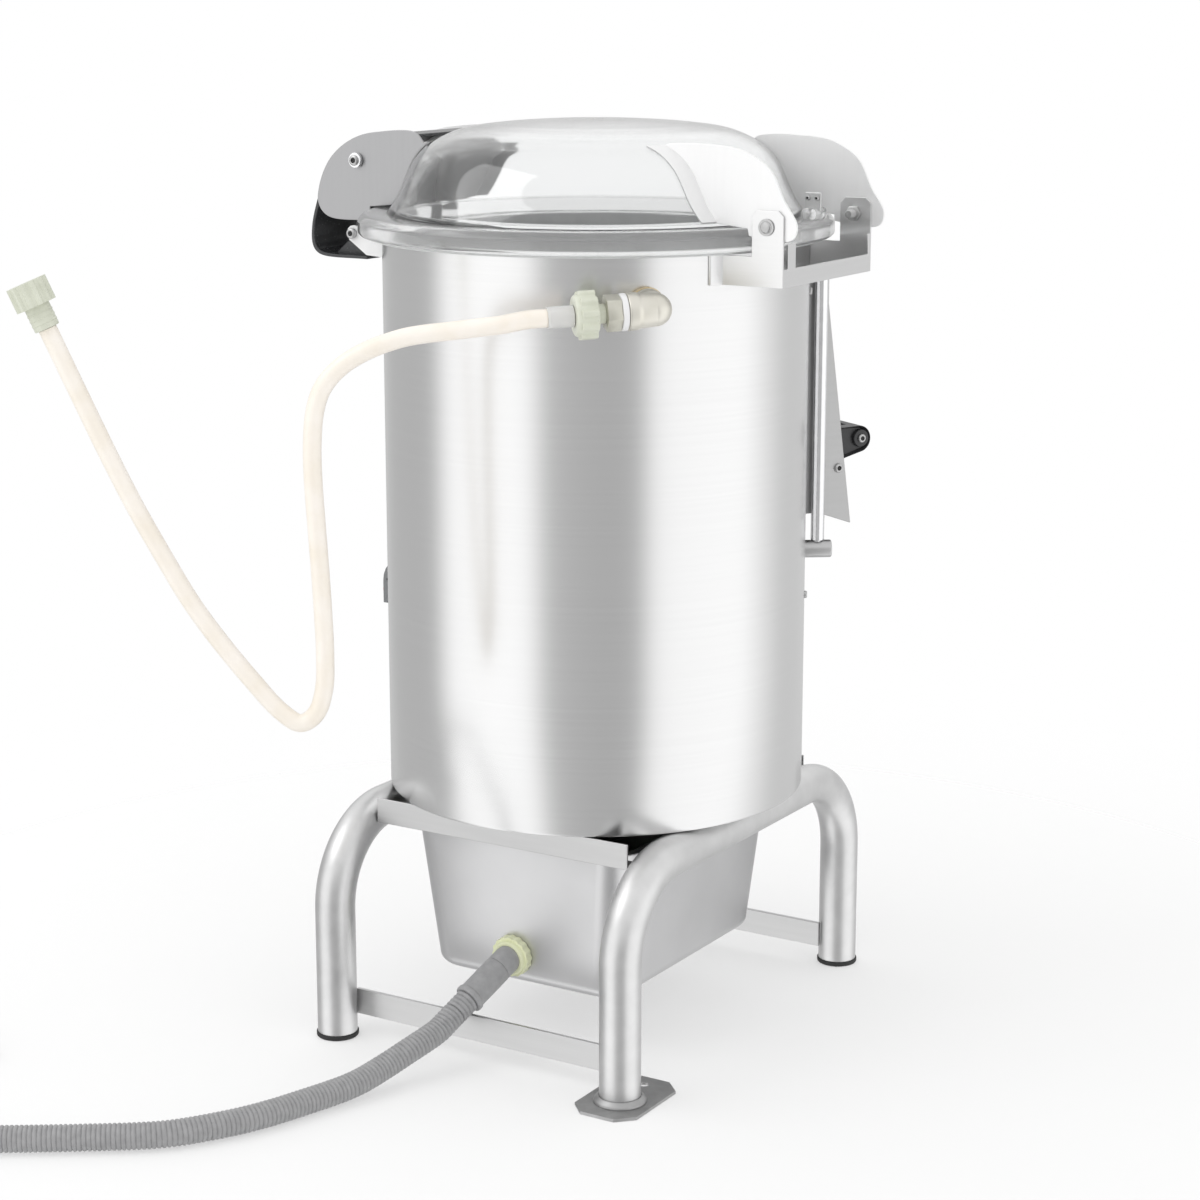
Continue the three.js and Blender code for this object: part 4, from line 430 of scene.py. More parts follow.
def moved(bm, step):
    bmesh.ops.translate(bm, vec=step, verts=bm.verts)
    return bm


def facing_out(bm):
    bmesh.ops.recalc_face_normals(bm, faces=bm.faces)
    return bm


def profile_spun(profile, sides, closed=True):
    """A profile, spun all the way round Z."""
    bm = bmesh.new()
    verts = [bm.verts.new((radius, 0, height)) for radius, height in profile]
    pairs = list(zip(verts, verts[1:])) + ([(verts[-1], verts[0])] if closed else [])
    edges = [bm.edges.new(pair) for pair in pairs if max(v.co.x for v in pair) > ON_AXIS]
    bmesh.ops.spin(
        bm, geom=verts + edges, cent=(0, 0, 0), axis=UP, angle=tau, steps=sides, use_merge=True,
    )
    bmesh.ops.remove_doubles(bm, verts=bm.verts, dist=MERGE_DISTANCE)
    return facing_out(bm)


def rounded_profile(corners, radius, steps=4):
    """A closed profile with each corner off the axis rounded."""
    points = []
    count = len(corners)
    for i, corner in enumerate(corners):
        here = Vector(corner)
        before, after = Vector(corners[i - 1]), Vector(corners[(i + 1) % count])
        reach = min(radius, 0.45 * (before - here).length, 0.45 * (after - here).length)
        if here.x < ON_AXIS:
            points.append(tuple(here))
            continue
        start = here + (before - here).normalized() * reach
        end = here + (after - here).normalized() * reach
        for step in range(steps + 1):
            t = step / steps
            spot = start.lerp(here, t).lerp(here.lerp(end, t), t)
            points.append((spot.x, spot.y))
    return points


def turned(corners, edge, sides=ROUND_SIDES, steps=4):
    """A profile with rounded corners, spun round Z."""
    return profile_spun(rounded_profile(corners, edge, steps), sides)


def band(inner, outer, low, high):
    """The profile of a plain ring or disc."""
    return [(inner, low), (outer, low), (outer, high), (inner, high)]


def raised(bm, height):
    """Flat faces, extruded up into a solid."""
    made = bmesh.ops.extrude_face_region(bm, geom=bm.faces[:])
    bmesh.ops.translate(bm, vec=(0, 0, height), verts=new_verts(made))
    return facing_out(bm)


def outline_raised(outline, low, high):
    """A flat outline of (x, y) points, extruded up from low to high."""
    bm = bmesh.new()
    bm.faces.new([bm.verts.new((x, y, low)) for x, y in outline])
    return raised(bm, high - low)


def ball(place, radius, segments, rings):
    bm = bmesh.new()
    bmesh.ops.create_uvsphere(bm, u_segments=segments, v_segments=rings, radius=radius)
    return moved(bm, place)


def block(place, size):
    bm = bmesh.new()
    matrix = Matrix.Translation(place) @ Matrix.Diagonal((*size, 1))
    bmesh.ops.create_cube(bm, size=1, matrix=matrix)
    return bm


def drawn(bm, edges, step):
    """Draws open edges on by a step and gives the new ones."""
    made = bmesh.ops.extrude_edge_only(bm, edges=edges)
    bmesh.ops.translate(bm, vec=step, verts=new_verts(made))
    return new_edges(made)


def pointed(bm, place, direction):
    """Turns a mesh built up Z so that it runs along a direction from a place."""
    turn = UP.rotation_difference(direction).to_matrix().to_4x4()
    bmesh.ops.transform(bm, matrix=Matrix.Translation(place) @ turn, verts=bm.verts)
    return bm


def across(bm):
    """Lays a mesh on its side: what was built along Y stands up, and its height runs along Y."""
    bmesh.ops.transform(bm, matrix=SIDE_ON, verts=bm.verts)
    return facing_out(bm)


def given_wall(bm, direction, wall):
    """Gives an open sheet a wall behind its faces, which look along a direction at each place."""
    total = sum(
        face.normal.dot(direction(face.calc_center_median())) * face.calc_area()
        for face in bm.faces
    )
    if total < 0:
        bmesh.ops.reverse_faces(bm, faces=bm.faces)
    bmesh.ops.solidify(bm, geom=bm.faces[:], thickness=wall)
    return facing_out(bm)


def gathered(*parts):
    """Several meshes in one."""
    whole = parts[0]
    for part in parts[1:]:
        carried = bpy.data.meshes.new("carried")
        part.to_mesh(carried)
        part.free()
        whole.from_mesh(carried)
        bpy.data.meshes.remove(carried)
    return whole


def lobed_outline(radius, lobes, depth, per_lobe=8):
    """A round outline whose edge rises and falls smoothly."""
    count = lobes * per_lobe
    points = []
    for i in range(count):
        angle = tau * i / count
        wave = cos(lobes * tau * i / count)
        reach = radius - depth * (0.5 - 0.5 * max(-1.0, min(1.0, 1.8 * wave)))
        points.append((reach * cos(angle), reach * sin(angle)))
    return points


def hex_outline(radius):
    angles = [radians(60 * i) for i in range(6)]
    return [(radius * cos(angle), radius * sin(angle)) for angle in angles]


def smooth_line(points, spacing):
    """A centripetal Catmull-Rom line through the points, as evenly spaced points."""
    first = points[0] * 2 - points[1]
    last = points[-1] * 2 - points[-2]
    through = [first, *points, last]
    fine = []
    for p0, p1, p2, p3 in zip(through, through[1:], through[2:], through[3:]):
        t1 = (p1 - p0).length ** 0.5
        t2 = t1 + (p2 - p1).length ** 0.5
        t3 = t2 + (p3 - p2).length ** 0.5
        for step in range(24):
            t = t1 + (t2 - t1) * step / 24
            a1 = p0.lerp(p1, t / t1)
            a2 = p1.lerp(p2, (t - t1) / (t2 - t1))
            a3 = p2.lerp(p3, (t - t2) / (t3 - t2))
            b1 = a1.lerp(a2, t / t2)
            b2 = a2.lerp(a3, (t - t1) / (t3 - t1))
            fine.append(b1.lerp(b2, (t - t1) / (t2 - t1)))
    fine.append(points[-1])
    total = line_length(fine)
    count = max(2, round(total / spacing))
    even, walked, target = [fine[0]], 0.0, total / count
    for a, b in zip(fine, fine[1:]):
        run = (b - a).length
        while walked + run >= target - 1e-9 and len(even) < count:
            even.append(a.lerp(b, (target - walked) / run))
            target += total / count
        walked += run
    even.append(fine[-1])
    return even


def line_length(line):
    return sum((b - a).length for a, b in zip(line, line[1:]))


def bent_along(bm, line):
    """Moves a straight tube, spun about Z from 0 up, onto a line of evenly spaced points."""
    spacing = line_length(line) / (len(line) - 1)
    headings = [(after - before).normalized() for before, _, after in neighbours(line)]
    side = headings[0].orthogonal().normalized()
    sides = [side]
    for before, after in zip(headings, headings[1:]):
        side = (before.rotation_difference(after) @ side).normalized()
        sides.append(side)
    for vert in bm.verts:
        station = max(0.0, min(len(line) - 1.0001, vert.co.z / spacing))
        low = int(station)
        share = station - low
        centre = line[low].lerp(line[low + 1], share)
        heading = headings[low].lerp(headings[low + 1], share).normalized()
        side = sides[low].lerp(sides[low + 1], share)
        side = (side - heading * side.dot(heading)).normalized()
        vert.co = centre + side * vert.co.x + heading.cross(side) * vert.co.y
    return facing_out(bm)


# Pieces

def as_piece(bm, name, finish, *stands_for, **shape):
    """A mesh in machine millimetres becomes a finished piece on a body."""
    bmesh.ops.transform(bm, matrix=TO_ROW, verts=bm.verts)
    return placed(bm, name, finish, stands_for, **shape)


def placed(bm, name, finish, stands_for, body="frame", sharp=SHARP, edge=0.0, segments=2,
           slot=None):
    mesh = bpy.data.meshes.new(name)
    bm.to_mesh(mesh)
    bm.free()
    mesh.materials.append(finish)
    mesh.shade_smooth()
    mesh.set_sharp_from_angle(angle=radians(sharp))
    piece = bpy.data.objects.new(name, mesh)
    bpy.context.scene.collection.objects.link(piece)
    if edge:
        bevel = piece.modifiers.new("rounded_edges", "BEVEL")
        bevel.width = edge * MILLIMETRE
        bevel.segments = segments
        bevel.limit_method = "ANGLE"
        bevel.angle_limit = radians(sharp)
        bevel.harden_normals = True
    slot = slot or SLOTS[finish.name]
    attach(piece, body)
    if stands_for:
        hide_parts(*stands_for)
    return piece


def eased(node, finish, edge, segments=2, sharp=CRISP):
    """A copy of a CAD node with its faces joined and its edges rounded."""
    source = frame["nodes"][node]
    bm = bmesh.new()
    bm.from_mesh(source.data)
    bmesh.ops.remove_doubles(bm, verts=bm.verts, dist=0.00001)
    bmesh.ops.dissolve_limit(bm, angle_limit=radians(0.6), verts=bm.verts, edges=bm.edges)
    placed(bm, node + "_finished", finish, (node,), source["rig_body"], sharp, edge, segments)


def turned_piece(name, finish, corners, edge, place, direction, sides, *stands_for, **shape):
    bm = pointed(turned(corners, edge, sides), place, direction)
    return as_piece(bm, name, finish, *stands_for, **shape)


def round_piece(node, finish, corners, edge, place=Vector(), direction=UP, sides=PLAIN_SIDES):
    """A turned piece that stands for a CAD node and rides on its body."""
    turned_piece(node + "_turned", finish, corners, edge, place, direction, sides, node,
                 body=frame["nodes"][node]["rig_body"])


# Materials

SLOTS = {}
GRIT_SIZE = 0.0022


def filled(tree, target, inputs):
    """Gives each input of a node a value, or a link from another node's output."""
    for socket, value in inputs.items():
        if isinstance(value, bpy.types.NodeSocket):
            tree.links.new(value, target.inputs[socket])
        else:
            target.inputs[socket].default_value = value


def shader(tree, kind, inputs=None, **settings):
    """The outputs of a new shader node."""
    made = tree.nodes.new("ShaderNode" + kind)
    for setting, value in settings.items():
        setattr(made, setting, value)
    filled(tree, made, inputs or {})
    return made.outputs


def triple(value):
    """One number stands for three alike."""
    return value if isinstance(value, tuple) else (value, value, value)


def grained(name, slot, dark, light, roughness, metallic=0.0, grain=40, bump=0.05, depth=0.0001,
            spread=0.08):
    """A finish whose colour, gloss and relief all follow one noise stretched along the grain."""
    finish = bpy.data.materials.new(name)
    SLOTS[finish.name] = slot
    finish.use_nodes = True
    tree = finish.node_tree
    place = shader(tree, "TexCoord")["Object"]
    along = shader(tree, "Mapping", {"Vector": place, "Scale": triple(grain)})["Vector"]
    noise = shader(tree, "TexNoise", {"Vector": along, "Scale": 1.0, "Detail": 5.0})["Fac"]
    tint = shader(tree, "ValToRGB", {"Fac": noise})["Color"]
    ends = tint.node.color_ramp.elements
    ends[0].position, ends[0].color = 0.3, (*triple(dark), 1)
    ends[1].position, ends[1].color = 0.7, (*triple(light), 1)
    low, high = roughness - spread / 2, roughness + spread / 2
    gloss = shader(tree, "MapRange", {"Value": noise, "To Min": low, "To Max": high})["Result"]
    relief = shader(tree, "Bump", {"Height": noise, "Strength": bump, "Distance": depth})
    filled(tree, tree.nodes["Principled BSDF"], {
        "Metallic": metallic, "Base Color": tint, "Roughness": gloss, "Normal": relief["Normal"],
    })
    return finish


def clear(name, slot, colour, roughness, transmission=1.0, ior=1.49):
    """A clear moulding with faint flow marks."""
    finish = grained(name, slot, colour, colour, roughness, 0, (14, 14, 30), 0.03, 0.0004, 0.03)
    tree = finish.node_tree
    glass = {"Transmission Weight": transmission, "IOR": ior}
    filled(tree, tree.nodes["Principled BSDF"], glass)
    return finish


def gritty(name, slot, dark, light):
    """Abrasive grit: sharp cells over a slow change of tone."""
    finish = grained(name, slot, dark, light, 0.85, 0.0, 30, 0.2, 0.0002)
    tree = finish.node_tree
    place = tree.nodes["Texture Coordinate"].outputs["Object"]
    cells = shader(tree, "TexVoronoi", {"Vector": place, "Scale": 1 / GRIT_SIZE})["Distance"]
    relief = shader(tree, "Bump", {"Height": cells, "Strength": 0.9, "Distance": 0.0009})
    filled(tree, tree.nodes["Principled BSDF"], {"Normal": relief["Normal"]})
    return finish


# Name and slot, darkest and lightest tone, roughness, metallic, grain, bump, its depth, and how far
# the roughness spreads
drum_steel = grained(
    "brushed_drum_steel", "drum_steel", 0.715, 0.73, 0.26, 1, (3, 3, 500), 0.004, spread=0.02,
)
tube_steel = grained("satin_tube_steel", "tube_steel", 0.63, 0.69, 0.4, 1, 60)
tray_steel = grained(
    "satin_tray_steel", "sheet_steel", (0.58, 0.58, 0.585), (0.62, 0.62, 0.625), 0.38, 1, 14, 0.03,
)
rail_steel = grained(
    "satin_rail_steel", "sheet_steel", 0.50, 0.53, 0.36, 1, (12, 12, 200), 0.015,
)
foot_steel = grained("floor_plate_steel", "sheet_steel", 0.34, 0.42, 0.45, 1, 90, 0.1)
sheet_steel = grained(
    "bright_sheet_steel", "sheet_steel", 0.715, 0.735, 0.3, 1, (10, 10, 300), 0.01,
)
door_steel = grained(
    "satin_door_steel", "sheet_steel", 0.42, 0.44, 0.4, 0.7, (10, 10, 250), 0.01,
)
plate_steel = grained(
    "bright_plate_steel", "sheet_steel", 0.85, 0.87, 0.36, 0.4, (200, 12, 12), 0.01,
)
# A darker copy of the plate steel for the near latch plate alone, whose twin on the far side is
# bright: painted shade.
shaded_plate_steel = grained(
    "satin_plate_steel_painted_shade", "sheet_steel", (0.375, 0.375, 0.38), (0.39, 0.39, 0.395), 0.42, 1,
    (200, 12, 12), 0.015,
)
bright_steel = grained(
    "bright_steel", "bolt_steel", (0.76, 0.76, 0.77), (0.82, 0.82, 0.83), 0.18, 1, 90, 0.04,
    spread=0.06,
)
screw_steel = grained("dull_screw_steel", "bolt_steel", 0.42, 0.54, 0.34, 1, 300, 0.1)
brass = grained(
    "brass", "brass", (0.62, 0.50, 0.30), (0.70, 0.58, 0.36), 0.28, 1, 60, depth=0.0002,
)
nickel = grained(
    "cast_nickel", "nickel", (0.66, 0.64, 0.57), (0.73, 0.71, 0.65), 0.42, 1, 45, 0.06, 0.0002,
)
fitting_grey = grained(
    "pale_fitting", "nickel", (0.50, 0.49, 0.42), (0.60, 0.59, 0.52), 0.34, 0.6, 60, 0.06,
)
black_plastic = grained(
    "black_moulded_plastic", "black_plastic", (0.022, 0.022, 0.024), (0.034, 0.034, 0.036), 0.36,
    0, 700, 0.08,
)
latch_plastic = grained(
    "latch_plastic", "black_plastic", (0.028, 0.029, 0.031), (0.040, 0.041, 0.044), 0.26, 0, 400,
    0.04,
)
grey_plastic = grained(
    "grey_box_plastic", "grey_plastic", (0.17, 0.175, 0.18), (0.21, 0.215, 0.22), 0.5, 0, 600, 0.1,
)
rubber = grained("black_rubber", "black_rubber", 0.018, 0.03, 0.7, 0, 120, 0.15, 0.0002)
hose_grey = grained(
    "grey_hose", "hose_grey", (0.30, 0.30, 0.305), (0.37, 0.37, 0.375), 0.5, 0, 150, 0.08,
)
cuff_grey = grained(
    "grey_cuff", "hose_grey", (0.31, 0.31, 0.315), (0.37, 0.37, 0.375), 0.5, 0, 150, 0.08,
)
hose_cream = grained(
    "cream_hose", "hose_cream", (0.905, 0.838, 0.735), (0.965, 0.912, 0.845), 0.3,
)
pale_green = grained(
    "pale_green_plastic", "pale_green_plastic", (0.60, 0.62, 0.51), (0.70, 0.72, 0.61), 0.32, 0,
    50, 0.06, 0.0002,
)
nut_yellow = grained(
    "pale_yellow_nut", "yellow_green_nut", (0.74, 0.77, 0.50), (0.82, 0.84, 0.60), 0.36, 0, 50,
    0.06, 0.0002,
)
white_plastic = grained("white_plastic", "white_rubber", 0.80, 0.86, 0.4, 0, 80)
seal_white = grained(
    "white_seal", "white_rubber", (0.62, 0.63, 0.63), (0.72, 0.73, 0.73), 0.5, 0, 80, depth=0.0002,
)
motor_paint = grained(
    "motor_paint", "motor_paint", (0.10, 0.14, 0.17), (0.13, 0.17, 0.21), 0.45, 0.1, 200,
    depth=0.0002,
)
cast_iron = grained(
    "cast_iron", "cast_iron", (0.14, 0.145, 0.15), (0.20, 0.205, 0.21), 0.6, 0.7, 150, 0.25,
    0.0003,
)
button_green = grained(
    "green_button", "green_cap", (0.02, 0.28, 0.07), (0.03, 0.34, 0.09), 0.3, 0, 60, depth=0.0002,
)
button_red = grained(
    "red_button", "red_cap", (0.46, 0.02, 0.015), (0.55, 0.03, 0.02), 0.3, 0, 60, depth=0.0002,
)
grit_plate = gritty("grit_plate", "abrasive", (0.11, 0.115, 0.12), (0.19, 0.195, 0.20))
grit_lining = gritty("grit_lining", "abrasive_lining", (0.34, 0.345, 0.35), (0.46, 0.465, 0.47))
clear_dome = clear("clear_dome", "clear_plastic", (0.975, 0.98, 0.98), 0.04)
clear_rim = clear("clear_rim", "clear_plastic", (0.97, 0.975, 0.975), 0.09, 0.85)
clear_sleeve = clear("clear_sleeve", "clear_sleeve", (0.95, 0.95, 0.94), 0.22, 0.45, 1.3)


# Camera

def photo_camera():
    data = bpy.data.cameras.new("photo_camera")
    data.sensor_width = 36.0
    data.lens = 82.38
    data.clip_end = 2000.0
    camera = bpy.data.objects.new("photo_camera", data)
    bpy.context.scene.collection.objects.link(camera)
    turn = Matrix((PHOTO_RIGHT, PHOTO_UP, -PHOTO_AHEAD)).transposed().to_4x4()
    camera.matrix_world = Matrix.Translation(TO_ROW @ PHOTO_PLACE) @ turn
    bpy.context.scene.camera = camera


# Hoses


def ribs(low, count, pitch, foot=1.0):
    """The outer profile of a ribbed hose, from the end of one valley on."""
    rise = HOSE_CREST - HOSE_VALLEY
    return [
        (HOSE_VALLEY + rise * height, low + rib * pitch + share * pitch)
        for rib in range(count)
        for share, height in ((0.22, 0.75), (0.5, 1.0), (0.78, 0.75), (foot, 0.0))
    ]


def drain_hose():
    start = DRAIN_ELBOW + DRAIN_HEADING * (CUFF_START + CUFF_LENGTH + GAP)
    points = [start + DRAIN_HEADING * HOSE_CREST * step for step in range(3)]
    points += [Vector(point) for point in DRAIN_ROUTE]
    x, y = LOOP_CENTRE
    for i in range(LOOP_POINTS + 1):
        angle = radians(LOOP_START - LOOP_TURN * i / LOOP_POINTS)
        spot = (x + LOOP_RADIUS * cos(angle), y + LOOP_RADIUS * sin(angle), HOSE_REST)
        points.append(Vector(spot))
    heading = Vector((sin(angle), -cos(angle), 0))
    loop_end = points[-1]
    points += [loop_end + heading * reach for reach in LOOP_RUN_OUT]
    line = smooth_line(points, HOSE_SPACING)
    length = line_length(line)
    count = round(length / HOSE_PITCH)
    pitch = length / count
    profile = [(HOSE_VALLEY, 0)] + ribs(0, count, pitch)
    profile += [(HOSE_BORE, length - rib * pitch) for rib in range(count + 1)]
    tube = bent_along(profile_spun(profile, HOSE_SIDES), line)
    hose = as_piece(tube, "ribbed_drain_hose", hose_grey, "drain_hose", sharp=FLEXIBLE)

    cuff_place = DRAIN_ELBOW + DRAIN_HEADING * CUFF_START
    cuff = turned_piece("hose_cuff", cuff_grey, CUFF_PROFILE, 0.8, cuff_place, DRAIN_HEADING,
                        ROUND_SIDES, "drain_cuff")
    low = CUFF_SMOOTH + 0.1
    first = [(HOSE_BORE, low), (HOSE_VALLEY, low)]
    first += ribs(CUFF_SMOOTH, CUFF_RIBS, (CUFF_LENGTH - CUFF_SMOOTH) / CUFF_RIBS, 0.98)
    first.append((HOSE_BORE, CUFF_LENGTH - 0.1))
    neck = pointed(profile_spun(first, ROUND_SIDES), cuff_place, DRAIN_HEADING)
    neck = as_piece(neck, "hose_neck", hose_grey, sharp=FLEXIBLE)
    end_cuff = turned_piece("hose_end_cuff", cuff_grey, END_CUFF_PROFILE, 0.8,
                            points[-1] + heading * GAP, heading, ROUND_SIDES, "drain_end_cuff")


def water_hose():
    start = INLET_BEND + INLET_HEADING * WATER_HOSE_START
    points = [start, start + INLET_HEADING * 2 * WATER_HOSE_RADIUS]
    points += [Vector(point) for point in WATER_ROUTE]
    heading = (points[-1] - points[-2]).normalized()
    end = points[-1] + heading * 2 * WATER_HOSE_RADIUS
    points.append(end)
    line = smooth_line(points, HOSE_SPACING)
    length = line_length(line)
    rings = [i * length / WATER_HOSE_RINGS for i in range(WATER_HOSE_RINGS + 1)]
    profile = [(WATER_HOSE_BORE, 0)] + [(WATER_HOSE_RADIUS, z) for z in rings]
    profile += [(WATER_HOSE_BORE, length)] + [(WATER_HOSE_BORE, z) for z in rings[-2:0:-1]]
    tube = bent_along(profile_spun(profile, SMALL_SIDES), line)
    hose = as_piece(tube, "cream_water_hose", hose_cream, "inlet_hose", sharp=FLEXIBLE)

    sleeve_place = INLET_BEND + INLET_HEADING * SLEEVE_START
    sleeve = turned_piece("clear_hose_sleeve", clear_sleeve, SLEEVE_PROFILE, 0.4, sleeve_place,
                          INLET_HEADING, ROUND_SIDES, "hose_sleeve")
    core = turned_piece("hose_in_sleeve", hose_cream, CORE_PROFILE, 0.3, sleeve_place,
                        INLET_HEADING, SMALL_SIDES)

    tail = turned(band(6, 11, GAP, 22.3), 1.0)
    grips = [moved(turned(TAP_RING_PROFILE, 0.3), (0, 0, low)) for low in (5, 9.5, 14)]
    nut = outline_raised(lobed_outline(*TAP_NUT), 21.1, 42.3)
    tap = pointed(gathered(tail, *grips, nut), end, heading)
    tap = as_piece(tap, "tap_nut", pale_green, "tap_connector", edge=0.7, segments=3)


# Stand and tray

def stand_arch(side, name):
    """A tube that rises, turns over through two bends and goes down again."""
    x = side * ARCH_HALF_WIDTH
    shoulder = ARCH_TOP - TUBE_BEND
    run = ARCH_HALF_DEPTH - TUBE_BEND
    bm = bmesh.new()
    bmesh.ops.create_circle(bm, cap_ends=False, segments=ROUND_SIDES, radius=TUBE_RADIUS)
    moved(bm, (x, -ARCH_HALF_DEPTH, FOOT_HEIGHT))

    def bent(edges, centre):
        return new_edges({"geom": bmesh.ops.spin(
            bm, geom=edges, cent=centre, axis=TO_USER, angle=pi / 2, steps=TUBE_BEND_STEPS,
        )["geom_last"]})

    edges = drawn(bm, bm.edges[:], (0, 0, shoulder - FOOT_HEIGHT))
    edges = bent(edges, (x, -run, shoulder))
    edges = drawn(bm, edges, (0, 2 * run, 0))
    edges = bent(edges, (x, run, shoulder))
    drawn(bm, edges, (0, 0, FOOT_HEIGHT - shoulder))
    as_piece(facing_out(bm), name + "_tube", tube_steel, name, sharp=SMOOTH)


def floor_foot():
    """The bolted plate under the front leg: a chamfered sheet with a hole, and a welded collar."""
    leg = (ARCH_HALF_WIDTH, -ARCH_HALF_DEPTH, 0)
    bm = bmesh.new()
    rim = [bm.verts.new((x, y, 0)) for x, y in FLOOR_PLATE_OUTLINE]
    for pair in ring_pairs(rim):
        bm.edges.new(pair)
    place = Matrix.Translation(FLOOR_HOLE_PLACE)
    bmesh.ops.create_circle(bm, segments=SMALL_SIDES, radius=4.8, matrix=place)
    bmesh.ops.triangle_fill(bm, use_beauty=True, edges=bm.edges[:])
    sheet = moved(raised(bm, FLOOR_PLATE_SHEET), leg)
    as_piece(sheet, "floor_plate_sheet", foot_steel, "floor_plate", sharp=CRISP, edge=0.5)
    collar = moved(turned(FLOOR_COLLAR_PROFILE, 0.9, NUT_SIDES), leg)
    as_piece(collar, "floor_plate_collar", foot_steel)


def rounded_rectangle(half_width, half_depth, radius, steps=10):
    points = []
    for quarter, (sx, sy) in enumerate(((1, 1), (-1, 1), (-1, -1), (1, -1))):
        for i in range(steps + 1):
            angle = radians(90 * (quarter + i / steps))
            points.append((
                sx * (half_width - radius) + radius * cos(angle),
                sy * (half_depth - radius) + radius * sin(angle),
            ))
    return points


def waste_tray():
    """The tray is drawn up ring by ring from its floor, folded out to a rim and given a wall."""
    stations = []
    for step in range(TRAY_ROUND_STEPS + 1):
        angle = radians(90 * step / TRAY_ROUND_STEPS)
        inward = TRAY_ROUND * (1 - sin(angle))
        height = TRAY_BOTTOM + TRAY_ROUND * (1 - cos(angle))
        stations.append((-inward, TRAY_CORNER - inward * TRAY_CORNER_SHARE, height))
    rise = TRAY_TOP - TRAY_LIP_DROP - TRAY_BOTTOM - TRAY_ROUND
    for step in range(1, TRAY_FLARE_STEPS + 1):
        share = step / TRAY_FLARE_STEPS
        height = TRAY_BOTTOM + TRAY_ROUND + rise * share
        stations.append((TRAY_FLARE * share, TRAY_CORNER, height))
    bm = bmesh.new()
    rings = []
    for grown, corner, z in (*stations, *TRAY_LIP):
        flat = rounded_rectangle(TRAY_HALF_WIDTH + grown, TRAY_HALF_DEPTH + grown, corner)
        rings.append([bm.verts.new((x, y, z)) for x, y in flat])
        for pair in ring_pairs(rings[-1]):
            bm.edges.new(pair)
    for low, high in zip(rings, rings[1:]):
        edges = [bm.edges.get(pair) for pair in ring_pairs(low) + ring_pairs(high)]
        bmesh.ops.bridge_loops(bm, edges=edges)
    bm.faces.new(rings[0])
    floor_top = TRAY_BOTTOM + 1
    given_wall(facing_out(bm), lambda spot: -UP if spot.z < floor_top else Vector(), TRAY_WALL)
    as_piece(bm, "tray_shell", tray_steel, "waste_tray", sharp=SMOOTH)


def drain_fitting():
    nut = outline_raised(lobed_outline(20, 16, 0.9), GAP, 8.4)
    collar = turned(DRAIN_COLLAR_PROFILE, 1.2, NUT_SIDES)
    spigot = turned(DRAIN_SPIGOT_PROFILE, 0.6)
    whole = pointed(gathered(nut, collar, spigot), DRAIN_PLACE, DRAIN_NORMAL)
    as_piece(whole, "drain_nut", nut_yellow, "drain_outlet", edge=1.0, segments=3)
    barb = pointed(turned(DRAIN_BARB_PROFILE, 0.6), DRAIN_ELBOW, DRAIN_HEADING)
    elbow = ball(DRAIN_ELBOW, DRAIN_ELBOW_RADIUS, 40, 24)
    as_piece(gathered(elbow, barb), "drain_elbow", cuff_grey)


# Drum and what is inside it

def opened(bm, low, high):
    """Takes away the faces between two heights where the discharge opening is."""
    taken = []
    for face in bm.faces:
        spot = face.calc_center_median()
        beside = abs(degrees(atan2(spot.y, spot.x)) - DOOR_DEGREES) < OPENING_HALF_DEGREES
        if beside and low < spot.z < high:
            taken.append(face)
    bmesh.ops.delete(bm, geom=taken, context="FACES")


def outward(spot):
    return Vector((spot.x, spot.y, 0))


def drum_shell():
    """A rolled sheet with the discharge opening let into it and a small turned-in bottom edge."""
    levels = [(DRUM_RADIUS - inward, DRUM_BOTTOM + rise) for inward, rise in BOTTOM_CURL]
    levels += [(DRUM_RADIUS, z) for z in DRUM_LEVELS]
    bm = profile_spun(levels, DRUM_SIDES, closed=False)
    opened(bm, OPENING_BOTTOM, OPENING_TOP)
    given_wall(bm, outward, DRUM_WALL)
    as_piece(bm, "drum_sheet", drum_steel, "drum_shell", sharp=SMOOTH)


def lining():
    """The abrasive lining, with its doorway cut above the sill of the opening."""
    low, middle, high = LINING_LEVELS
    profile = [(CHAMBER_RADIUS, z) for z in (low, middle, high)]
    profile += [(LINING_RADIUS, z) for z in (high, middle, low)]
    bm = profile_spun(profile, DRUM_SIDES)
    sill = Vector((0, 0, LINING_SILL))
    bmesh.ops.bisect_plane(
        bm, geom=bm.verts[:] + bm.edges[:] + bm.faces[:], plane_co=sill, plane_no=UP,
    )
    opened(bm, LINING_SILL, DRUM_TOP)
    bmesh.ops.holes_fill(bm, edges=bm.edges[:], sides=0)
    as_piece(bm, "grit_lining", grit_lining, "abrasive_liner", sharp=SMOOTH)


def pulley_profile(radius):
    """A pulley with its belt groove."""
    low, high = PULLEY_ENDS
    groove_low, groove_high = GROOVE_ENDS
    floor = radius - GROOVE_DEPTH
    return [
        (PULLEY_BORE, low), (radius, low), (radius, groove_low), (floor, groove_low),
        (floor, groove_high), (radius, groove_high), (radius, high), (PULLEY_BORE, high),
    ]


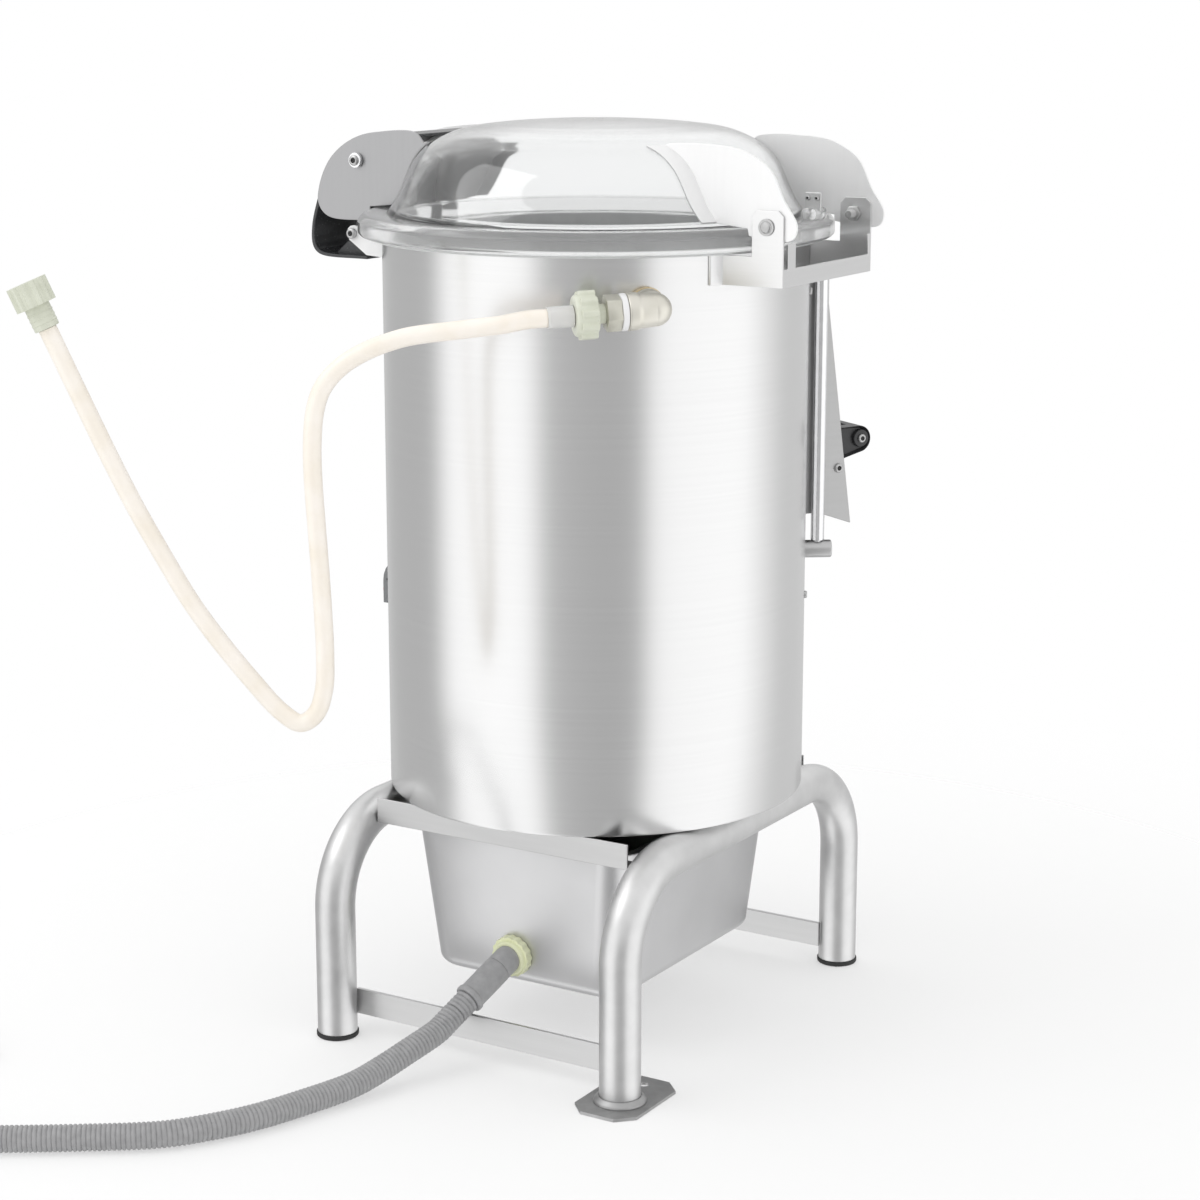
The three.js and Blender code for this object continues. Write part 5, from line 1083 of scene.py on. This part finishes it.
def drum_inside():
    round_piece("lid_seal", seal_white, SEAL_PROFILE, 0.8, sides=WIDE_SIDES)
    base = band(0, CHAMBER_RADIUS, DRUM_BOTTOM, BASE_PLATE_TOP)
    round_piece("base_plate", sheet_steel, base, 0.5, sides=WIDE_SIDES)
    round_piece("waste_spout", grey_plastic, SPOUT_PROFILE, 0.5, SPOUT_PLACE)
    round_piece("bearing_housing", cast_iron, HOUSING_PROFILE, 1.2)
    for node, low in BEARINGS:
        ring = band(BEARING_BORE, BEARING_RADIUS, low, low + BEARING_HEIGHT)
        round_piece(node, bright_steel, ring, 0.8)
    round_piece("drive_shaft", bright_steel, SHAFT_PROFILE, 0.6)
    round_piece("driven_pulley", cast_iron, pulley_profile(DRIVEN_RADIUS), 0.8)
    low, high = MOTOR_SHAFT_ENDS
    driving = [
        (0, low), (PULLEY_BORE, low), *pulley_profile(DRIVING_RADIUS), (PULLEY_BORE, high),
        (0, high),
    ]
    round_piece("motor_pulley", cast_iron, driving, 0.7, MOTOR_AXIS)
    eased("chamber_floor", sheet_steel, 0.4)
    eased("motor", motor_paint, 2.0, 3)
    eased("v_belt", rubber, 0.8)
    lining()
    eased("peeling_plate", grit_plate, 1.0, 2, SMOOTH)


# Water inlet

def hex_fastener(width, height, chamfer=0.8):
    """A hexagon with its corners turned off."""
    prism = outline_raised(hex_outline(width), 0, height)
    bmesh.ops.bevel(prism, geom=prism.edges[:], offset=chamfer, segments=2, profile=0.5,
                    affect="EDGES", material=-1)
    return prism


def on_inlet(bm, start=0.0):
    return pointed(bm, INLET_BEND + INLET_HEADING * start, INLET_HEADING)


def water_inlet():
    round_piece("inlet_bush", brass, BUSH_PROFILE, 0.6, INLET_AXIS, INLET_RADIAL, NUT_SIDES)
    socket = pointed(turned(SOCKET_PROFILE, 1.0, NUT_SIDES), INLET_AXIS, INLET_RADIAL)
    outlet = on_inlet(turned(OUTLET_PROFILE, 1.6, NUT_SIDES, 6))
    elbow = gathered(socket, outlet, ball(INLET_BEND, ELBOW_RADIUS, ROUND_SIDES, 32))
    as_piece(elbow, "elbow_casting", nickel, "inlet_elbow", sharp=SMOOTH)
    nipple = on_inlet(hex_fastener(NIPPLE_RADIUS, NIPPLE_LENGTH, 1.0), NIPPLE_START)
    as_piece(nipple, "nipple_hexagon", fitting_grey, "inlet_nipple")
    washer = turned(band(7, 16.2, WASHER_START, NIPPLE_START), 1.4, NUT_SIDES)
    as_piece(on_inlet(washer), "inlet_washer", white_plastic)

    neck = turned(band(5.5, 8.5, -0.2, 9), 0.6)
    nut = outline_raised(lobed_outline(*UNION_NUT), 8, 23)
    collar = turned(UNION_COLLAR_PROFILE, 1.4, NUT_SIDES)
    as_piece(on_inlet(gathered(nut, collar, neck), UNION_START), "union_nut_moulding", pale_green,
             "union_nut", edge=1.0, segments=3)


# Lid, hinge and latch

def dome_points():
    raw = [
        Vector((radius * DOME_RADIUS, 0, LID_RIM_TOP + height * DOME_RISE))
        for radius, height in zip(DOME_RADIUS_SHARES, DOME_HEIGHT_SHARES)
    ]
    return [(max(0.0, point.x), point.z) for point in smooth_line(raw, DOME_SPACING)]


def stood_off(points, distance):
    """The dome's outline, moved out from itself by a distance."""
    moved_out = []
    for before, here, after in neighbours(points):
        run = Vector((after[0] - before[0], after[1] - before[1])).normalized()
        moved_out.append((here[0] + run.y * distance, here[1] - run.x * distance))
    return moved_out


def lid_dome():
    outer = dome_points()
    foot = LID_RIM_TOP + 0.05
    inner = [(max(0.0, r), z) for r, z in stood_off(outer, -DOME_WALL) if z > foot]
    inner[-1] = (0, LID_RIM_TOP + DOME_RISE - DOME_WALL)
    outer = [point for point in outer if point[1] > foot + 1]
    profile = [(DOME_RADIUS, foot)] + outer + inner[::-1] + [(DOME_BORE, foot)]
    as_piece(profile_spun(profile, LID_SIDES), "dome_moulding", clear_dome, "lid_dome", body="lid",
             sharp=SMOOTH)
    rim = turned(RIM_PROFILE, 2.2, LID_SIDES, 5)
    as_piece(rim, "rim_moulding", clear_rim, body="lid", sharp=SMOOTH)


def lid_fittings():
    """The boss and the screwed tab on the rim, and the mark on the crown."""
    boss = block((206, 42, 779.5), (15, 30, 11))
    as_piece(boss, "rim_boss", clear_rim, body="lid", sharp=SMOOTH, edge=5.0, segments=6)
    tab = block((206, 40, 790), (16, 1.6, 17))
    as_piece(tab, "rim_tab", sheet_steel, body="lid", sharp=SMOOTH, edge=0.6)
    for x in (201.5, 210.5):
        place = Vector((x, 39.2, 793.5))
        socket_screw("rim_screw_%d" % x, place, -SIDEWAYS, 2.2, "lid")
    mark = turned(band(0, 7, 859.9, 861), 0.4)
    as_piece(mark, "crown_mark", clear_sleeve, body="lid", sharp=SMOOTH, slot="clear_plastic")


def hinge_bolt(node, place, direction, round_head):
    if round_head:
        head = turned(ROUND_HEAD_PROFILE, 0.6)
    else:
        head = moved(hex_fastener(BOLT_HEAD_RADIUS, BOLT_HEAD_HEIGHT), (0, 0, -BOLT_HEAD_HEIGHT))
    washer = moved(turned(band(BOLT_RADIUS, BOLT_HEAD_RADIUS, 0, BOLT_WASHER), 0.3),
                   (0, 0, -BOLT_WASHER))
    nut = hex_fastener(BOLT_HEAD_RADIUS, BOLT_HEAD_HEIGHT)
    moved(nut, (0, 0, THREAD_REACH - BOLT_NUT_BACK))
    threads = [(0, THREAD_START)]
    z = THREAD_START
    while z < THREAD_REACH - 0.9 * THREAD_PITCH:
        threads += [(BOLT_RADIUS, z), (BOLT_CORE, z + THREAD_PITCH / 2)]
        z += THREAD_PITCH
        threads.append((BOLT_RADIUS, z))
    threads += [(3.0, THREAD_REACH), (0, THREAD_REACH)]
    bolt = gathered(head, washer, nut, profile_spun(threads, SMALL_SIDES))
    as_piece(pointed(bolt, place, direction), node + "_thread", screw_steel, node)


def socket_screw(name, place, direction, radius, body):
    """A pan-head screw with a hexagon socket, drawn as a shallow hollow with a black hexagon in it
    as painted shade.
    """
    profile = [(share * radius, height) for share, height in SCREW_SHARES]
    turned_piece(name, screw_steel, profile, 0.3, place, direction, SMALL_SIDES, body=body)
    # A black hexagon on the floor of the hollow: painted shade for the deep socket.
    socket_shade = outline_raised(hex_outline(radius * SOCKET_SHADE_SHARE), 0.9, 1.3)
    as_piece(pointed(socket_shade, place, direction), name + "_socket_shade", rubber, body=body)


def laid_out(shares, size, place=LATCH):
    return [Vector((place.x + x * size[0], place.z + z * size[1], 0)) for x, z in shares]


def flat_points(line):
    return [(point.x, point.y) for point in line]


def lid_section(beside):
    """The lid cut in a plane beside its middle, from the foot of the rim up, as (reach, height)."""
    reach = LID_RIM_RADIUS + GAP
    section = [(reach, LID_BASE), (reach, LID_RIM_TOP + GAP)]
    dome = stood_off(dome_points(), GAP)
    section += [point for point in dome if point[1] > LID_RIM_TOP + 2 * GAP]
    return [((r ** 2 - beside ** 2) ** 0.5, height) for r, height in section if r > beside + 1]


def lid_plate(node, shares, size, place, face, finish):
    """A flat sheet cut to the lid's shape, with a strip folded outward along the dome."""
    side, out = copysign(1, place.x), copysign(1, face)
    back = face - out * PLATE_SHEET
    section = lid_section(abs(face))

    def lid_reach(level):
        for (near, low), (far, high) in zip(section, section[1:]):
            if low <= level <= high:
                return near + (far - near) * (level - low) / max(high - low, 0.0001)
        return section[0][0] if level < LID_BASE else 0

    chain = smooth_line(laid_out(shares, size, place), PLATE_SPACING)
    run = [point for point in chain if side * point.x > lid_reach(point.y)]
    bottom, top = run[-1].y, run[0].y
    outline = flat_points(run)
    outline += [(side * reach, level) for reach, level in section if bottom < level < top]
    flat = across(outline_raised(outline, back, face))

    strip = bmesh.new()
    climb = [
        strip.verts.new((side * reach, back, level))
        for reach, level in lid_section(abs(face) - PLATE_SHEET)
        if LID_RIM_TOP + 1 < level < top
    ]
    edges = [strip.edges.new(pair) for pair in zip(climb, climb[1:])]
    for _ in range(PLATE_STRIP_STEPS):
        made = bmesh.ops.extrude_edge_only(strip, edges=edges)
        edges = new_edges(made)
        for vert in new_verts(made):
            radius = vert.co.xy.length
            vert.co.y += out * (PLATE_SHEET + PLATE_STRIP) / PLATE_STRIP_STEPS
            vert.co.x = side * (radius ** 2 - vert.co.y ** 2) ** 0.5
    strip.normal_update()
    given_wall(strip, lambda spot: -outward(spot), PLATE_SHEET)
    as_piece(gathered(flat, strip), node + "_sheet", finish, node, body="lid", edge=0.5, segments=3)


def hinge_and_plates():
    for node, face in (("hinge_plate_near", -83.6), ("hinge_plate_far", 88.2)):
        lid_plate(node, HINGE_PLATE_SHARES, HINGE_PLATE_SIZE, HINGE, face, plate_steel)
    # The near latch plate takes the darker copy of the plate steel, which is painted shade; the far
    # one takes the plain plate steel.
    for (side, label), finish in zip(NEAR_AND_FAR, (shaded_plate_steel, plate_steel)):
        face = side * LATCH_PLATE_FACE
        lid_plate("latch_plate_" + label, LATCH_PLATE_SHARES, LATCH_PLATE_SIZE, LATCH, face, finish)
    lid_fittings()
    eased("hinge_bracket", sheet_steel, 0.5)
    hinge_bolt("hinge_bolt_near", HINGE - SIDEWAYS * 86.2, SIDEWAYS, True)
    hinge_bolt("hinge_bolt_far", HINGE + SIDEWAYS * 88.5, -SIDEWAYS, False)


def latch():
    cover = bmesh.new()
    ridge = smooth_line(laid_out(COVER_SHARES, LATCH_PLATE_SIZE), CURVE_SPACING)
    verts = [cover.verts.new((point.x, -COVER_HALF_WIDTH, point.y)) for point in ridge]
    edges = [cover.edges.new(pair) for pair in zip(verts, verts[1:])]
    drawn(cover, edges, (0, 2 * COVER_HALF_WIDTH, 0))
    cover.normal_update()
    given_wall(cover, lambda spot: UP, COVER_SHEET)
    as_piece(cover, "latch_cover_sheet", latch_plastic, "latch_cover", body="lid", edge=0.8,
             segments=3)

    shell = smooth_line(laid_out(HANDLE_OUTER_SHARES, HANDLE_SIZE), CURVE_SPACING)
    shell += smooth_line(laid_out(HANDLE_INNER_SHARES, HANDLE_SIZE), CURVE_SPACING)
    handle = across(outline_raised(flat_points(shell), -HANDLE_HALF_WIDTH, HANDLE_HALF_WIDTH))
    arm = flat_points(laid_out(HANDLE_ARM_SHARES, HANDLE_SIZE))
    arms = [across(outline_raised(arm, low, low + HANDLE_ARM_SHEET)) for low in HANDLE_ARM_PLACES]
    as_piece(gathered(handle, *arms), "latch_handle_moulding", latch_plastic, "latch_handle",
             body="latch", edge=0.9, segments=3)
    for _, label in NEAR_AND_FAR:
        eased("catch_lug_" + label, white_plastic, 0.7, 3)
    turned_piece("latch_pivot", bright_steel, LATCH_PIN_PROFILE, 0.8, LATCH, SIDEWAYS, ROUND_SIDES,
                 "latch_pivot_pin", body="lid")
    round_piece("catch_pin", bright_steel, band(0, 4, -78, 78), 0.8, CATCH, SIDEWAYS, ROUND_SIDES)
    for side, label in NEAR_AND_FAR:
        out = SIDEWAYS * side
        socket_screw("latch_screw_" + label, LATCH + out * 69.6, out, SIDE_SCREW_RADIUS, "lid")
        socket_screw("catch_screw_" + label, CATCH + out * 77.6, out, SIDE_SCREW_RADIUS, "frame")


# Discharge door

def door_handle():
    """Two hollowed arms with a bolt in each round end, and the grip between them."""
    angles = [radians(angle) for angle in range(0, 181, 12)]
    end = [(GRIP_END + GRIP_RADIUS * sin(a), -GRIP_RADIUS * cos(a)) for a in angles]
    grip = [(GRIP_ROOT, -GRIP_RADIUS), *end, (GRIP_ROOT, GRIP_RADIUS)]
    handle = across(outline_raised(grip, -GRIP_HALF_WIDTH, GRIP_HALF_WIDTH))
    outline = [(GAP, -ARM_HALF_ROOT), *end, (GAP, ARM_HALF_ROOT)]
    for side, label in NEAR_AND_FAR:
        arm = outline_raised(outline, ARM_INSIDE, ARM_OUTSIDE)
        outside = [face for face in arm.faces if face.calc_center_median().z > ARM_OUTSIDE - 0.1]
        bmesh.ops.inset_region(arm, faces=outside, thickness=ARM_RIM, depth=-ARM_HOLLOW)
        boss = moved(turned(BOSS_PROFILE, 0.8), (BOSS_PLACE, 0, 0))
        arm = across(gathered(arm, boss))
        bmesh.ops.scale(arm, vec=(1, side, 1), verts=arm.verts)
        handle = gathered(handle, facing_out(arm))
        place = HANDLE_PLACE @ Vector((BOSS_PLACE, side * BOSS_FACE, 0))
        out = HANDLE_PLACE.to_3x3() @ (SIDEWAYS * side)
        socket_screw("handle_bolt_" + label, place, out, 4.4, "door")
    bmesh.ops.transform(handle, matrix=HANDLE_PLACE, verts=handle.verts)
    as_piece(handle, "door_handle_moulding", black_plastic, "door_handle", body="door", edge=1.2,
             segments=3)


def discharge_door():
    eased("door_chute", door_steel, 0.9, 3)
    door_handle()
    reach, height = DOOR_SCREW
    for side, label in NEAR_AND_FAR:
        place = DOOR_TURN @ Vector((reach, side * DOOR_CHEEK, height))
        out = DOOR_TURN.to_3x3() @ (SIDEWAYS * side)
        socket_screw("door_screw_" + label, place, out, 4.6, "door")
    wall = Vector((cos(WALL_SCREW_ANGLE), sin(WALL_SCREW_ANGLE), 0))
    for height in WALL_SCREW_HEIGHTS:
        place = wall * DRUM_RADIUS + UP * height
        socket_screw("wall_screw_%d" % height, place, wall, 3.6, "frame")
    round_piece("hinge_rod", bright_steel, ROD_PROFILE, 0.7, ROD_AXIS, UP, ROUND_SIDES)
    for node, height in STUB_HEIGHTS:
        stub = band(0, STUB_RADIUS, *STUB_ENDS)
        round_piece(node, rail_steel, stub, 1.6, UP * height, ROD_RADIAL, ROUND_SIDES)


# Controls

def controls():
    eased("control_box", grey_plastic, 1.2, 3)
    for side, label in NEAR_AND_FAR:
        slit = block((-215, side * 37.7, 406), (12, 1, 1.8))
        as_piece(slit, "box_slot_" + label, rubber, edge=0.3)
    buttons = (("start_button", START_PLACE, button_green), ("stop_button", STOP_PLACE, button_red))
    for node, y, finish in buttons:
        place = BOX_FRONT + SIDEWAYS * y
        round_piece(node, finish, BUTTON_PROFILE, 0.6, place, TO_USER, NUT_SIDES)
        turned_piece(node + "_bezel", bright_steel, BEZEL_PROFILE, 0.4, place, TO_USER, NUT_SIDES)
    grip = outline_raised(lobed_outline(*KNOB_EDGE), 0.6, 12)
    cap = turned(KNOB_CAP_PROFILE, 0.6, NUT_SIDES)
    bar = outline_raised(KNOB_BAR, 12.5, 14)
    shaft = profile_spun(KNOB_SHAFT_PROFILE, SMALL_SIDES)
    knob = pointed(gathered(grip, cap, bar, shaft), BOX_FRONT + SIDEWAYS * TIMER_PLACE, TO_USER)
    as_piece(knob, "timer_knob_moulding", black_plastic, "timer_knob", body="timer", edge=0.4)


# Floor and light

def studio_floor():
    """A pale floor that fades out round the machine and that the steel doesn't mirror."""
    bpy.ops.mesh.primitive_plane_add(size=40, location=(0, 0, 0))
    floor = bpy.context.object
    floor.name = "studio_floor"
    material = bpy.data.materials.new("studio_floor")
    material.use_nodes = True
    tree = material.node_tree
    tree.nodes.clear()
    paint = shader(tree, "BsdfDiffuse", {"Color": (*triple(FLOOR_TONE), 1)})["BSDF"]
    clear_air = shader(tree, "BsdfTransparent")["BSDF"]
    place = shader(tree, "TexCoord")["Object"]
    distance = shader(tree, "VectorMath", {0: place}, operation="LENGTH")["Value"]
    fade = shader(tree, "MapRange", {
        "Value": distance, "From Min": 0.4, "From Max": 1.3, "To Min": 0.55, "To Max": 0.0,
    }, interpolation_type="SMOOTHSTEP")["Result"]
    glossy = shader(tree, "LightPath")["Is Glossy Ray"]
    shown = shader(tree, "Mix", {"Factor": glossy, "A": fade, "B": 0.0})["Result"]
    blend = shader(tree, "MixShader", {"Fac": shown, 1: clear_air, 2: paint})["Shader"]
    shader(tree, "OutputMaterial", {"Surface": blend})
    floor.data.materials.append(material)


def studio_world():
    """Even white for everything but mirrored rays, which see upright bands of light and shade."""
    world = bpy.data.worlds.new("studio")
    bpy.context.scene.world = world
    world.use_nodes = True
    tree = world.node_tree
    tree.nodes.clear()
    even = shader(tree, "Background", {"Color": (1, 1, 1, 1), "Strength": 1.0})["Background"]
    way = shader(tree, "TexCoord")["Generated"]
    part = shader(tree, "SeparateXYZ", {"Vector": way})
    around = shader(tree, "Math", {0: part["Y"], 1: part["X"]}, operation="ARCTAN2")["Value"]
    whole_turn = {"Value": around, "From Min": -pi, "From Max": pi}
    turn = shader(tree, "MapRange", whole_turn)["Result"]
    bands = shader(tree, "ValToRGB", {"Fac": turn})["Color"]
    ramp = bands.node.color_ramp
    while len(ramp.elements) < len(BANDS):
        ramp.elements.new(0.5)
    for element, (angle, level) in zip(ramp.elements, BANDS):
        element.position = (angle + 180) / 360
        element.color = (*triple(level), 1)
    height = shader(tree, "MapRange", {
        "Value": part["Z"], "From Min": 0.15, "From Max": 0.5,
    }, interpolation_type="SMOOTHSTEP")["Result"]
    tones = {"Factor": height, "A": bands, "B": (*triple(OVERHEAD_TONE), 1)}
    overhead = shader(tree, "Mix", tones, data_type="RGBA")["Result"]
    studio = shader(tree, "Background", {"Color": overhead, "Strength": 1.0})["Background"]
    ray = shader(tree, "LightPath")
    mirrored = shader(tree, "Math", {
        0: ray["Is Glossy Ray"], 1: ray["Is Transmission Ray"],
    }, operation="SUBTRACT", use_clamp=True)["Value"]
    blend = shader(tree, "MixShader", {"Fac": mirrored, 1: even, 2: studio})["Shader"]
    shader(tree, "OutputWorld", {"Surface": blend})


def soft_lamp():
    lamp = bpy.data.lights.new("soft_key", "AREA")
    lamp.shape = "RECTANGLE"
    lamp.size = 2.2
    lamp.size_y = 1.6
    lamp.energy = 18.0
    key = bpy.data.objects.new("soft_key", lamp)
    bpy.context.scene.collection.objects.link(key)
    key.location = LAMP_PLACE
    key.rotation_euler = (LAMP_AIM - LAMP_PLACE).to_track_quat("-Z", "Y").to_euler()


photo_camera()
drain_hose()
water_hose()
stand_arch(-1, "stand_arch_left")
stand_arch(1, "stand_arch_right")
for node in ("tray_rail_near", "tray_rail_far", "lower_bar_near", "lower_bar_far"):
    eased(node, rail_steel, 0.6)
for node, x, y in (("foot_left_near", -1, -1), ("foot_left_far", -1, 1), ("foot_right_far", 1, 1)):
    leg = Vector((x * ARCH_HALF_WIDTH, y * ARCH_HALF_DEPTH, 0))
    turned_piece(node + "_cap", rubber, FOOT_PROFILE, 0.6, leg, UP, NUT_SIDES, node)
floor_foot()
waste_tray()
drain_fitting()
drum_shell()
drum_inside()
water_inlet()
lid_dome()
hinge_and_plates()
latch()
discharge_door()
controls()
studio_floor()
studio_world()
soft_lamp()

bpy.context.scene.view_settings.view_transform = "Standard"
